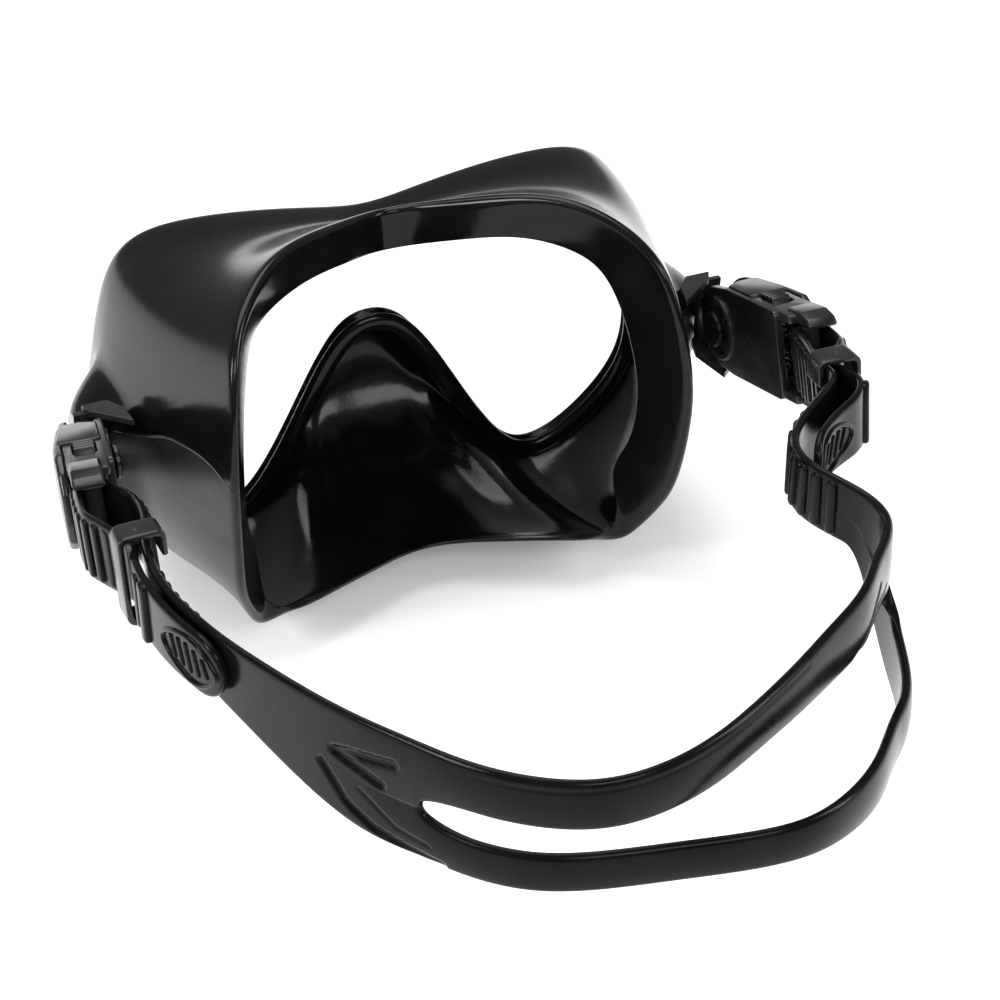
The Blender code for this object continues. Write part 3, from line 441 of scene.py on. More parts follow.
def soft_box(name, lo, hi, radius=0.8, edge=0.4, axis="X", **kw):
    k = {"X": (1, 2, 0), "Y": (0, 2, 1), "Z": (0, 1, 2)}[axis]
    a0, a1, b0, b1 = lo[k[0]], hi[k[0]], lo[k[1]], hi[k[1]]
    poly = round_poly([(a0, b0), (a1, b0), (a1, b1), (a0, b1)], radius, 4)
    return soft_prism(name, poly, lo[k[2]], hi[k[2]], axis, edge, edge, **kw)


def rod(name, centre, radius, length, axis="Z", segments=40, edge=0.25, bore=0.0):
    """A turned pin or roller with rounded rims and an optional bore."""
    half = length / 2
    prof = [(bore, -half)] if bore else [(0.0, -half)]
    prof += [(radius - edge, -half), (radius - edge * 0.3, -half + edge * 0.3), (radius, -half + edge)]
    prof += [(radius, -half + (length - 2 * edge) * t) for t in (0.02, 0.5, 0.98)]
    prof += [(radius, half - edge), (radius - edge * 0.3, half - edge * 0.3), (radius - edge, half)]
    prof += [(bore, half)] if bore else [(0.0, half)]
    verts, faces = [], []
    n = len(prof)
    for s in range(segments):
        a = 2 * math.pi * s / segments
        for r, h in prof:
            p = (r * math.cos(a), r * math.sin(a), h)
            p = {"Z": p, "X": (p[2], p[0], p[1]), "Y": (p[1], p[2], p[0])}[axis]
            verts.append(tuple(p[i] + centre[i] for i in range(3)))
    for s in range(segments):
        t = (s + 1) % segments
        for k in range(n - (0 if bore else 1)):
            m = (k + 1) % n
            faces.append((s * n + k, s * n + m, t * n + m, t * n + k))
    obj = new_object(name, verts, faces, 40)
    bm = bmesh.new()
    bm.from_mesh(obj.data)
    bmesh.ops.remove_doubles(bm, verts=bm.verts, dist=1e-7)
    bmesh.ops.recalc_face_normals(bm, faces=bm.faces)
    bm.to_mesh(obj.data)
    bm.free()
    return soften(obj, 40)


def stand(obj, matrix, side):
    """Carries a piece drawn in a local left-hand frame to its world place."""
    if side == "right":
        for v in obj.data.vertices:
            v.co.x = -v.co.x
        obj.data.flip_normals()
    obj.data.transform(matrix)
    obj.data.update()
    return obj


# ------------------------------------------------------------------ materials
class Nodes:
    def __init__(self, name):
        self.mat = bpy.data.materials.new(name)
        self.mat.use_nodes = True
        self.tree = self.mat.node_tree
        self.shader = self.tree.nodes["Principled BSDF"]
        self.coord = self.tree.nodes.new("ShaderNodeTexCoord").outputs["Object"]

    def add(self, kind, **props):
        node = self.tree.nodes.new(kind)
        for key, value in props.items():
            setattr(node, key, value)
        return node

    def link(self, a, b):
        self.tree.links.new(a, b)

    def noise(self, scale, detail=4.0, rough=0.55, distortion=0.0):
        n = self.add("ShaderNodeTexNoise")
        n.inputs["Scale"].default_value = scale
        n.inputs["Detail"].default_value = detail
        n.inputs["Roughness"].default_value = rough
        n.inputs["Distortion"].default_value = distortion
        self.link(self.coord, n.inputs["Vector"])
        return n.outputs["Fac"]

    def voronoi(self, scale, feature="F1"):
        n = self.add("ShaderNodeTexVoronoi", feature=feature)
        n.inputs["Scale"].default_value = scale
        self.link(self.coord, n.inputs["Vector"])
        return n.outputs["Distance"]

    def span(self, value, lo, hi, to_lo, to_hi):
        n = self.add("ShaderNodeMapRange")
        n.inputs["From Min"].default_value, n.inputs["From Max"].default_value = lo, hi
        n.inputs["To Min"].default_value, n.inputs["To Max"].default_value = to_lo, to_hi
        self.link(value, n.inputs["Value"])
        return n.outputs["Result"]

    def math(self, op, a, b):
        n = self.add("ShaderNodeMath", operation=op)
        for i, v in enumerate((a, b)):
            if isinstance(v, (int, float)):
                n.inputs[i].default_value = v
            else:
                self.link(v, n.inputs[i])
        return n.outputs[0]

    def mix_colour(self, fac, a, b):
        n = self.add("ShaderNodeMix", data_type="RGBA")
        n.inputs["A"].default_value = (*a, 1)
        if isinstance(b, tuple):
            n.inputs["B"].default_value = (*b, 1)
        else:
            self.link(b, n.inputs["B"])
        self.link(fac, n.inputs["Factor"])
        return n.outputs["Result"]

    def bump(self, height, strength, distance, normal=None):
        n = self.add("ShaderNodeBump")
        n.inputs["Strength"].default_value = strength
        n.inputs["Distance"].default_value = distance
        self.link(height, n.inputs["Height"])
        if normal is not None:
            self.link(normal, n.inputs["Normal"])
        return n.outputs["Normal"]

    def attribute(self, name):
        n = self.add("ShaderNodeAttribute", attribute_name=name)
        return n.outputs["Fac"]

    def set(self, **values):
        for key, value in values.items():
            self.shader.inputs[key.replace("_", " ")].default_value = value


def skirt_silicone():
    """Polished liquid silicone, with the finely grained, less glossy zone that the mould leaves
    below the parting line.  That zone also gets a paler base colour, a painted reflection of the pale floor; its grain
    and roughness are the mould's own finish."""
    m = Nodes("black_silicone_moulded")
    zone, seam = m.attribute("satin_and_painted_reflection"), m.attribute("seam")
    satin_and_painted_reflection = m.math("MULTIPLY", zone, m.span(seam, -0.45, 0.0, 1.0, 0.0))
    line = m.math("MULTIPLY", zone, m.span(m.math("ABSOLUTE", seam, 0.0), 0.05, 0.42, 1.0, 0.0))
    cloud = m.noise(55.0, 5.0, 0.6)
    grain = m.noise(2600.0, 3.0, 0.6)
    peel = m.noise(420.0, 2.0, 0.5)
    streak = m.noise(160.0, 6.0, 0.7, 1.2)
    base = m.mix_colour(m.span(cloud, 0.35, 0.7, 0, 1), (0.0026, 0.0027, 0.0030), (0.0046, 0.0047, 0.0052))
    # Paler, streaked colour below the parting line: a painted reflection of the pale floor, with random streaks of
    # tone.
    pale = m.mix_colour(m.span(streak, 0.45, 0.75, 0, 1), (0.012, 0.0125, 0.0133), (0.023, 0.024, 0.0255))
    n = m.add("ShaderNodeMix", data_type="RGBA")
    m.link(satin_and_painted_reflection, n.inputs["Factor"])
    m.link(base, n.inputs["A"])
    m.link(pale, n.inputs["B"])
    m.link(n.outputs["Result"], m.shader.inputs["Base Color"])
    rough = m.span(cloud, 0.3, 0.75, 0.12, 0.20)
    rough = m.math("ADD", rough, m.math("MULTIPLY", satin_and_painted_reflection, m.span(streak, 0.4, 0.7, 0.20, 0.30)))
    m.link(rough, m.shader.inputs["Roughness"])
    n1 = m.bump(peel, 0.10, 0.00025)
    n2 = m.bump(line, 1.0, 0.00045, n1)
    height = m.math("MULTIPLY", grain, m.math("ADD", 0.12, satin_and_painted_reflection))
    m.link(m.bump(height, 0.22, 0.00012, n2), m.shader.inputs["Normal"])
    m.set(IOR=1.43, Specular_IOR_Level=0.24)
    return m.mat


def strap_silicone():
    m = Nodes("strap_silicone_moulded")
    cloud = m.noise(90.0, 5.0, 0.6)
    grain = m.noise(3000.0, 3.0, 0.6)
    peel = m.noise(500.0, 2.0, 0.5)
    m.link(m.mix_colour(m.span(cloud, 0.35, 0.7, 0, 1), (0.0026, 0.0027, 0.0030), (0.0050, 0.0052, 0.0057)),
           m.shader.inputs["Base Color"])
    m.link(m.span(cloud, 0.3, 0.75, 0.13, 0.21), m.shader.inputs["Roughness"])
    n1 = m.bump(peel, 0.12, 0.0002)
    m.link(m.bump(grain, 0.14, 0.00010, n1), m.shader.inputs["Normal"])
    m.set(IOR=1.43, Specular_IOR_Level=0.11)
    return m.mat


def nylon(name, colour, rough, edge=0.00022, grain_scale=1900.0, strength=0.3):
    """Spark-eroded nylon: fine grain; the convex edges are slightly polished and given a lighter colour, a painted
    highlight.
    """
    m = Nodes(name)
    cloud = m.noise(120.0, 4.0, 0.6)
    grain = m.voronoi(grain_scale, "SMOOTH_F1")
    light = tuple(c * 1.7 + 0.002 for c in colour)
    base = m.mix_colour(m.span(cloud, 0.35, 0.7, 0, 1), colour, light)
    # Convex edges, found by pointiness, get a lighter base colour, which is a painted highlight, and a lower roughness.
    point = m.add("ShaderNodeNewGeometry").outputs["Pointiness"]
    edge_polish_and_painted_highlight = m.span(point, 0.52, 0.58, 0.0, 1.0)
    n = m.add("ShaderNodeMix", data_type="RGBA")
    m.link(edge_polish_and_painted_highlight, n.inputs["Factor"])
    m.link(base, n.inputs["A"])
    n.inputs["B"].default_value = (*(c * 2.6 + 0.006 for c in colour), 1)
    m.link(n.outputs["Result"], m.shader.inputs["Base Color"])
    r = m.span(cloud, 0.3, 0.75, rough - 0.05, rough + 0.07)
    r = m.math("SUBTRACT", r, m.math("MULTIPLY", edge_polish_and_painted_highlight, 0.08))
    m.link(r, m.shader.inputs["Roughness"])
    bevel = m.add("ShaderNodeBevel", samples=4)
    bevel.inputs["Radius"].default_value = edge
    m.link(m.bump(grain, strength, 0.00008, bevel.outputs["Normal"]), m.shader.inputs["Normal"])
    m.set(IOR=1.5, Specular_IOR_Level=0.36)
    return m.mat


def glass():
    """Clear tempered plate with a faint green body and light smears."""
    m = Nodes("tempered_glass_plate")
    smear = m.noise(38.0, 6.0, 0.65, 0.8)
    m.link(m.span(smear, 0.5, 0.8, 0.0, 0.035), m.shader.inputs["Roughness"])
    m.link(m.mix_colour(m.span(smear, 0.3, 0.8, 0, 1), (0.985, 0.995, 0.99), (0.965, 0.985, 0.978)),
           m.shader.inputs["Base Color"])
    m.set(IOR=1.5, Transmission_Weight=1.0)
    return m.mat


def steel():
    m = Nodes("stainless_steel_turned")
    ring = m.noise(700.0, 3.0, 0.6)
    m.link(m.mix_colour(ring, (0.42, 0.43, 0.44), (0.62, 0.63, 0.65)), m.shader.inputs["Base Color"])
    m.link(m.span(ring, 0.3, 0.7, 0.2, 0.34), m.shader.inputs["Roughness"])
    m.link(m.bump(ring, 0.1, 0.00005), m.shader.inputs["Normal"])
    m.set(Metallic=1.0)
    return m.mat


def black_oxide():
    """Blackened steel for the swivel pins."""
    m = Nodes("black_oxide_steel")
    ring = m.noise(800.0, 4.0, 0.6)
    m.link(m.mix_colour(ring, (0.020, 0.021, 0.023), (0.034, 0.035, 0.038)), m.shader.inputs["Base Color"])
    m.link(m.span(ring, 0.3, 0.7, 0.3, 0.42), m.shader.inputs["Roughness"])
    m.link(m.bump(ring, 0.08, 0.00004), m.shader.inputs["Normal"])
    m.set(Metallic=1.0)
    return m.mat


def floor_material():
    m = Nodes("pale_studio_floor")
    cloud = m.noise(3.0, 3.0, 0.5)
    m.link(m.mix_colour(cloud, (0.86, 0.86, 0.862), (0.89, 0.89, 0.892)), m.shader.inputs["Base Color"])
    m.link(m.span(cloud, 0.3, 0.7, 0.75, 0.85), m.shader.inputs["Roughness"])
    m.link(m.bump(m.noise(900.0, 2.0), 0.02, 0.0002), m.shader.inputs["Normal"])
    m.set(Specular_IOR_Level=0.15, Emission_Strength=0.16)
    return m.mat


SILICONE = skirt_silicone()
STRAP = strap_silicone()
NYLON = nylon("black_nylon_moulded", (0.0040, 0.0042, 0.0047), 0.25, strength=0.09)
GRIP = nylon("grip_nylon_moulded", (0.0024, 0.0025, 0.0028), 0.30, 0.00015, 2400.0, 0.12)
GLASS = glass()
STEEL = steel()
BLACK_STEEL = black_oxide()


def dress(obj, mat, slot, body, *replaced):
    obj.data.materials.clear()
    obj.data.materials.append(mat)
    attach(obj, body)
    if replaced:
        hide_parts(*replaced)
    return obj


# ---------------------------------------------------------------------- skirt
FINE_STATIONS, FINE_WALL, FINE_LIP = 96, 26, 8


def fine_grid(params, wall_steps, fold_steps, lip_steps):
    """Middle surface of the skirt, denser than the CAD but on the same guides."""
    edge, normal, (c1, c2, seal, lip) = skirt_frame(params)
    rows = []
    for i, p in enumerate(params):
        w = nose_weight(p)
        out = (1 - w) * WALL_START_SIDE[0] + w * WALL_START_NOSE[0]
        y = (1 - w) * WALL_START_SIDE[1] + w * WALL_START_NOSE[1]
        start = rim_point(edge[i], normal[i], out, y)
        wall_dir = (seal[i] - c2[i]) / np.linalg.norm(seal[i] - c2[i])
        lip_dir = (lip[i] - seal[i]) / np.linalg.norm(lip[i] - seal[i])
        end = seal[i] - wall_dir * SEAL_FOLD
        row = []
        for k in range(wall_steps):
            t = k / (wall_steps - 1)
            row.append((1 - t)**3 * start + 3 * (1 - t)**2 * t * c1[i] + 3 * (1 - t) * t * t * c2[i] + t**3 * end)
        fold = seal[i] + lip_dir * SEAL_FOLD
        for k in range(1, fold_steps + 1):
            t = k / fold_steps
            row.append((1 - t)**2 * end + 2 * (1 - t) * t * seal[i] + t * t * fold)
        for k in range(1, lip_steps + 1):
            row.append(fold + (lip[i] - fold) * k / lip_steps)
        for q in row[1:wall_steps]:
            q[0] += boss(q)
        rows.append(row)
    return np.array(rows), edge, normal


PARTING_Y = [20.0, 35.8, 44.8, 53.7, 64.2, 72.1, 81.1, 90.0]
PARTING_Z = [0.0, 1.8, 6.6, 12.1, 14.9, 16.3, 15.0, 9.0]
FINE_Y = np.arange(0.0, 110.0, 0.5)
FINE_Z = np.convolve(np.interp(np.arange(-6.0, 116.0, 0.5), PARTING_Y, PARTING_Z), np.hanning(27)[1:-1] / 13.0, "valid")
FINE_Z = FINE_Z[:len(FINE_Y)]


def satin_and_painted_reflection_zone(q):
    """How strongly the grain, and the painted floor reflection that goes with it, shows at a place on the side wall,
    below the parting line.
    """
    x, y, z = abs(q[0]), q[1], q[2]
    if x < 48:
        return 0.0
    return smoothstep(y, 27.0, 36.0) * (1 - 0.75 * smoothstep(-z, 6.0, 30.0))


def build_skirt():
    params = station_parameters(FINE_STATIONS)
    fold_steps = 6
    grid, edge, normal = fine_grid(params, FINE_WALL, fold_steps, FINE_LIP)
    n = grid_normals(grid)
    count = grid.shape[1]
    half = np.interp(np.arange(count), [0, FINE_WALL - 1, count - 1], [WALL_HALF_RIM, WALL_HALF_SEAL, LIP_HALF])
    side = [np.array(RIM_SIDE)[0]] + [None]
    verts, satin_and_painted_reflection, seams = [], [], []
    per = 0
    for i, p in enumerate(params):
        w = nose_weight(p)
        loop, zone, seam = [], [], []
        for j in range(count):
            q = grid[i][j] + n[i][j] * half[j]
            line = float(np.interp(q[1], FINE_Y, FINE_Z))
            loop.append(q)
            zone.append(satin_and_painted_reflection_zone(q) if j < FINE_WALL + 2 else 0.0)
            seam.append(min(max(q[2] - line, -20.0), 20.0) if abs(q[0]) > 44 else 20.0)
        tip = grid[i][-1] - grid[i][-2]
        tip = tip / np.linalg.norm(tip)
        for a in (0.5, 0.0, -0.5):
            loop.append(grid[i][-1] + tip * LIP_HALF * (1.0 if a == 0 else 0.8) + n[i][-1] * LIP_HALF * a * 1.2)
            zone.append(0.0)
        for j in reversed(range(count)):
            off = half[j]
            if j > FINE_WALL + fold_steps - 3:      # a fine step runs round inside the flange
                off -= 0.22 * smoothstep(j, FINE_WALL + fold_steps - 1.6, FINE_WALL + fold_steps - 0.4)
            loop.append(grid[i][j] - n[i][j] * off)
            zone.append(0.0)
        rim = [((1 - w) * o1 + w * o2, (1 - w) * y1 + w * y2) for (o1, y1), (o2, y2) in zip(RIM_SIDE, RIM_NOSE)]
        for o, y in rim:
            loop.append(rim_point(edge[i], normal[i], o, y))
            zone.append(0.0)
        per = len(loop)
        if i in (0, len(params) - 1):
            for q in loop:
                q[0] = 0.0
        verts += loop
        satin_and_painted_reflection += zone
        seams += seam + [20.0] * (per - len(seam))
    rows = len(params)
    all_verts = list(verts)
    all_satin_and_painted_reflection = list(satin_and_painted_reflection)
    all_seams = list(seams)
    mirror = {}
    for i in range(rows):
        for j in range(per):
            k = i * per + j
            if i in (0, rows - 1):
                mirror[k] = k
            else:
                mirror[k] = len(all_verts)
                q = verts[k]
                all_verts.append(np.array([-q[0], q[1], q[2]]))
                all_satin_and_painted_reflection.append(satin_and_painted_reflection[k])
                all_seams.append(seams[k])
    faces = []
    for i in range(rows - 1):
        for j in range(per):
            k = (j + 1) % per
            quad = (i * per + j, i * per + k, (i + 1) * per + k, (i + 1) * per + j)
            faces.append(quad)
            faces.append(tuple(mirror[v] for v in reversed(quad)))
    obj = new_object("skirt_shell", all_verts, faces, 180)
    # Weight of the grained zone; the shader also paints this zone paler as a painted floor reflection.
    attribute = obj.data.attributes.new("satin_and_painted_reflection", "FLOAT", "POINT")
    attribute.data.foreach_set("value", np.array(all_satin_and_painted_reflection, np.float32))
    attribute = obj.data.attributes.new("seam", "FLOAT", "POINT")
    attribute.data.foreach_set("value", np.array(all_seams, np.float32))
    subdivide(obj, 1)
    return dress(obj, SILICONE, "black_silicone", "mask", "skirt"), params


def build_lens():
    """The plate, with a fine ground bevel round both faces."""
    params = station_parameters(160)
    edge, normal, _ = skirt_frame(params)
    rings = [(-LENS_FACE_IN - 0.4, LENS_FRONT_Y), (-LENS_FACE_IN + 0.2, LENS_FRONT_Y + 0.03), (LENS_OVERLAP - 0.3, LENS_BEVEL_Y - 0.03),
             (LENS_OVERLAP - 0.08, LENS_BEVEL_Y + 0.1), (LENS_OVERLAP, LENS_BEVEL_Y + 0.35),
             (LENS_OVERLAP, LENS_BACK_Y - 0.45), (LENS_OVERLAP - 0.12, LENS_BACK_Y - 0.12), (LENS_OVERLAP - 0.45, LENS_BACK_Y)]
    verts, faces, n = [], [], 0
    for out, y in rings:
        half = [edge[i] + normal[i] * out for i in range(len(params))]
        outline = [(0.0 if i in (0, len(half) - 1) else q[0], q[1]) for i, q in enumerate(half)]
        outline += [(-x, z) for x, z in outline[-2:0:-1]]
        n = len(outline)
        verts += [(a, y, b) for a, b in outline]
    for r in range(len(rings) - 1):
        for i in range(n):
            j = (i + 1) % n
            faces.append((r * n + i, r * n + j, (r + 1) * n + j, (r + 1) * n + i))
    faces.append(tuple(range(n)))
    faces.append(tuple((len(rings) - 1) * n + i for i in range(n)))
    obj = new_object("lens_plate", verts, faces, 30)
    return dress(obj, GLASS, "tempered_glass", "mask", "lens")


# ---------------------------------------------------------------------- strap
HALF_ROWS = [0.0, 0.04, 0.09, 0.15, 0.22, 0.29, 0.36, 0.43, 0.5, 0.57, 0.64, 0.71, 0.78, 0.85, 0.91, 0.96, 1.0]
GROOVES = [   # moulded channels on the outside of the bands: ((run, distance below the top edge) ...), width, depth
    ([(-97, 12.6), (-92, 11.0), (-87, 10.0), (-80, 8.6)], 1.9, 0.9),
    ([(-97, 12.6), (-90, 14.5), (-84, 16.4)], 1.9, 0.9),
    ([(-101, 18.0), (-98, 21.5), (-94, 26.5), (-86, 30.6), (-77, 32.2), (-68, 32.8)], 1.7, 0.9),
    ([(-90, 20.5), (-86, 23.0), (-80, 27.0), (-71, 28.3)], 0.7, 0.3),
    ([(-58, 2.6), (-30, 2.2), (0, 2.0), (30, 2.2)], 0.6, 0.25),
    ([(36, 19.6), (49, 19.8), (59, 15.6), (66, 9.0), (70, 7.2)], 1.6, 0.7),
    ([(62, 17.5), (70, 14.6), (78, 12.4)], 1.0, 0.45),
]


def groove_depth(s, d):
    total = 0.0
    for line, width, depth in GROOVES:
        if not line[0][0] - 3 < s < line[-1][0] + 3:
            continue
        best = 9e9
        for (s0, d0), (s1, d1) in zip(line, line[1:]):
            vs, vd = s1 - s0, d1 - d0
            t = min(max(((s - s0) * vs + (d - d0) * vd) / (vs * vs + vd * vd), 0), 1)
            best = min(best, math.hypot(s - s0 - vs * t, d - d0 - vd * t))
        if best < width:
            total = max(total, depth * (1 - smoothstep(best, 0.25 * width, width)))
    return total


def edge_factor(t, r):
    u = min(max(t / r, 0.0), 1.0)
    return max(math.sqrt(max(1 - (1 - u)**2, 0.0)), 0.22)


def strap_columns():
    """Fine columns along the strap: position, widths and slot opening."""
    left_turn = [p[:2] for p in turn_points("left")]
    right_turn = [p[:2] for p in turn_points("right")][::-1]
    upper = LEFT_TAIL + left_turn + LEFT_MAIN + UPPER + RIGHT_MAIN + right_turn + RIGHT_TAIL
    lower = LEFT_TAIL + left_turn + LEFT_MAIN + LOWER + RIGHT_MAIN + right_turn + RIGHT_TAIL
    marks = np.cumsum([0, len(LEFT_TAIL), 9, len(LEFT_MAIN), len(UPPER), len(RIGHT_MAIN), 9, len(RIGHT_TAIL)])
    params = []
    for a in range(len(upper) - 1):
        in_turn = marks[1] - 1 <= a < marks[2] or marks[5] - 1 <= a < marks[6]
        n = 2 if in_turn else max(1, int(round(math.dist(upper[a], upper[a + 1]) / 1.1)))
        params += [a + k / n for k in range(n)]
    params.append(len(upper) - 1)
    params = np.array(params, float)
    return spline(upper, params), spline(lower, params), params, marks


def carve(obj):
    """Presses the moulded channels into the fine outer face of the bands."""
    mesh = obj.data
    count = len(mesh.vertices)
    values = {}
    for word in ("run", "below", "outer"):
        values[word] = np.empty(count, np.float32)
        mesh.attributes[word].data.foreach_get("value", values[word])
    co, no = np.empty(count * 3, np.float32), np.empty(count * 3, np.float32)
    mesh.vertices.foreach_get("co", co)
    mesh.vertices.foreach_get("normal", no)
    co, no = co.reshape(-1, 3), no.reshape(-1, 3)
    for k in np.nonzero(values["outer"] > 0.98)[0]:
        g = groove_depth(float(values["run"][k]), float(values["below"][k]))
        if g:
            co[k] -= no[k] * g * MM
    mesh.vertices.foreach_set("co", co.reshape(-1))
    for word in ("run", "below", "outer"):
        mesh.attributes.remove(mesh.attributes[word])
    mesh.update()
    soften(obj, 180)


def build_strap():
    up, lo, params, marks = strap_columns()
    run = np.concatenate([[0], np.cumsum(np.linalg.norm(np.diff(up, axis=0), axis=1))])
    centre = float(np.interp(marks[3] + 5.1, params, run))
    split_a = float(np.interp(marks[3] + 0.15, params, run)) - centre
    split_b = float(np.interp(marks[4] - 0.45, params, run)) - centre
    R = len(HALF_ROWS)
    pos, rise, openness, where = [], [], [], []
    for i, p in enumerate(params):
        s = run[i] - centre
        x, y = up[i]
        upper_w, slot, lower_w = band_heights(s)
        on_tail = p < marks[1] - 0.5 or p > marks[6] - 0.5
        if on_tail:
            end = min(run[i], run[-1] - run[i])
            w = TAIL_W * math.sqrt(max(1 - (1 - min(end / 9.0, 1.0))**2, 0.02))
        elif marks[2] <= p <= marks[5]:
            t = smoothstep(s, split_a - 75, split_a - 8) if s < 0 else 1 - smoothstep(s, split_b - 2, split_b + 24)
            w = STRAP_W + (upper_w + slot + lower_w - STRAP_W) * t
        else:
            w = STRAP_W
        lean, top = strap_lean(y), strap_top(y)
        f = w / (upper_w + slot + lower_w)
        opening, o = 0.02, 0.0
        if split_a < s < split_b:
            edge = min(s - split_a, split_b - s)
            opening = max(0.02, math.sqrt(max(0.0, 1 - (1 - min(edge / 16.0, 1.0))**2)))
            o = 1.0
        gap_mid = (upper_w + slot / 2) * f
        half_gap = slot / 2 * f * opening
        narrow = w <= STRAP_W + 1e-6
        mid_h = STRAP_W / 2 if narrow else w / 2
        column, lift = [], []
        for half_index in (0, 1):
            d0, d1 = ((0.0, gap_mid - half_gap), (gap_mid + half_gap, w))[half_index]
            for t in HALF_ROWS:
                d = d0 + (d1 - d0) * t
                q = up[i] if half_index == 0 else lo[i]
                off = mid_h - (d + (STRAP_W - w) / 2 if narrow else d)
                height = (top - STRAP_W / 2 + off * math.cos(lean)) if narrow else top - d
                column.append((q[0], q[1] - math.sin(lean) * off, height))
                outer_t = (d1 - d0) * (t if half_index == 0 else 1 - t)
                slot_t = (d1 - d0) * ((1 - t) if half_index == 0 else t)
                e = edge_factor(outer_t, 1.2)
                if o:
                    e = min(e, edge_factor(slot_t, 1.2))
                # the bands swell to a D section behind the head
                swell = 0.0
                blend = smoothstep(s, split_a - 26, split_a + 12) * (1 - smoothstep(s, split_b - 12, split_b + 24))
                if blend:
                    swell = 0.75 * blend * (1 - (2 * t - 1)**2)
                lift.append((STRAP_T / 2 * e, STRAP_T / 2 * e + swell * e))
                where.append((s, d))
        pos.append(column)
        rise.append(lift)
        openness.append(o)
    pos = np.array(pos)
    rise = np.array(rise)
    along = np.gradient(pos, axis=0)
    across = np.empty_like(pos)
    across[:, :R] = np.gradient(pos[:, :R], axis=1)
    across[:, R:] = np.gradient(pos[:, R:], axis=1)
    normal = np.cross(-across, along)
    normal /= np.linalg.norm(normal, axis=2)[:, :, None] + 1e-12
    inner = pos + normal * rise[:, :, :1]          # towards the head on the main run
    outer = pos - normal * rise[:, :, 1:]
    C, N = len(params), 2 * R
    verts = list(inner.reshape(-1, 3)) + list(outer.reshape(-1, 3))
    faces = []
    at = lambda layer, i, k: layer * C * N + i * N + k
    for i in range(C - 1):
        for k in range(N - 1):
            if k == R - 1 and openness[i] and openness[i + 1]:
                continue
            faces.append((at(0, i, k), at(0, i, k + 1), at(0, i + 1, k + 1), at(0, i + 1, k)))
            faces.append((at(1, i, k), at(1, i + 1, k), at(1, i + 1, k + 1), at(1, i, k + 1)))
        for k in (0, N - 1):
            faces.append((at(0, i, k), at(0, i + 1, k), at(1, i + 1, k), at(1, i, k)))
        if openness[i] and openness[i + 1]:
            for k in (R - 1, R):
                faces.append((at(0, i, k), at(0, i + 1, k), at(1, i + 1, k), at(1, i, k)))
        elif openness[i] != openness[i + 1]:
            pass
    for i in range(1, C - 1):
        if openness[i] and (not openness[i - 1] or not openness[i + 1]):
            faces.append((at(0, i, R - 1), at(0, i, R), at(1, i, R), at(1, i, R - 1)))
    for i in (0, C - 1):
        for k in range(N - 1):
            faces.append((at(0, i, k), at(0, i, k + 1), at(1, i, k + 1), at(1, i, k)))
    obj = new_object("head_strap_band", verts, faces, 180)
    where = np.array(where, np.float32)
    for word, column in (("run", 0), ("below", 1)):
        attribute = obj.data.attributes.new(word, "FLOAT", "POINT")
        attribute.data.foreach_set("value", np.tile(where[:, column], 2))
    attribute = obj.data.attributes.new("outer", "FLOAT", "POINT")
    attribute.data.foreach_set("value", np.repeat(np.array([0, 1], np.float32), len(where)))
    subdivide(obj, 1)
    carve(obj)
    dress(obj, STRAP, "strap_silicone", "harness", "head_strap")
    frame_of = {"run": run, "pos": pos, "normal": normal, "rise": rise, "params": params, "marks": marks}
    return frame_of


def strap_point(fr, s, d, width, lift):
    """Point on the strap's ribbed face, d below the top edge of a strip of the
    given width, raised by lift; s is the run from the left tail's tip."""
    run, pos, normal, rise = fr["run"], fr["pos"], fr["normal"], fr["rise"]
    i = int(np.clip(np.searchsorted(run, s) - 1, 0, len(run) - 2))
    f = float(np.clip((s - run[i]) / max(run[i + 1] - run[i], 1e-9), 0, 1))
    col = pos[i] * (1 - f) + pos[i + 1] * f
    nrm = normal[i][8] * (1 - f) + normal[i + 1][8] * f
    nrm = nrm / np.linalg.norm(nrm)
    top, bottom = col[0], col[-1]
    t = d / width
    return top + (bottom - top) * t + nrm * (STRAP_T / 2 + lift)


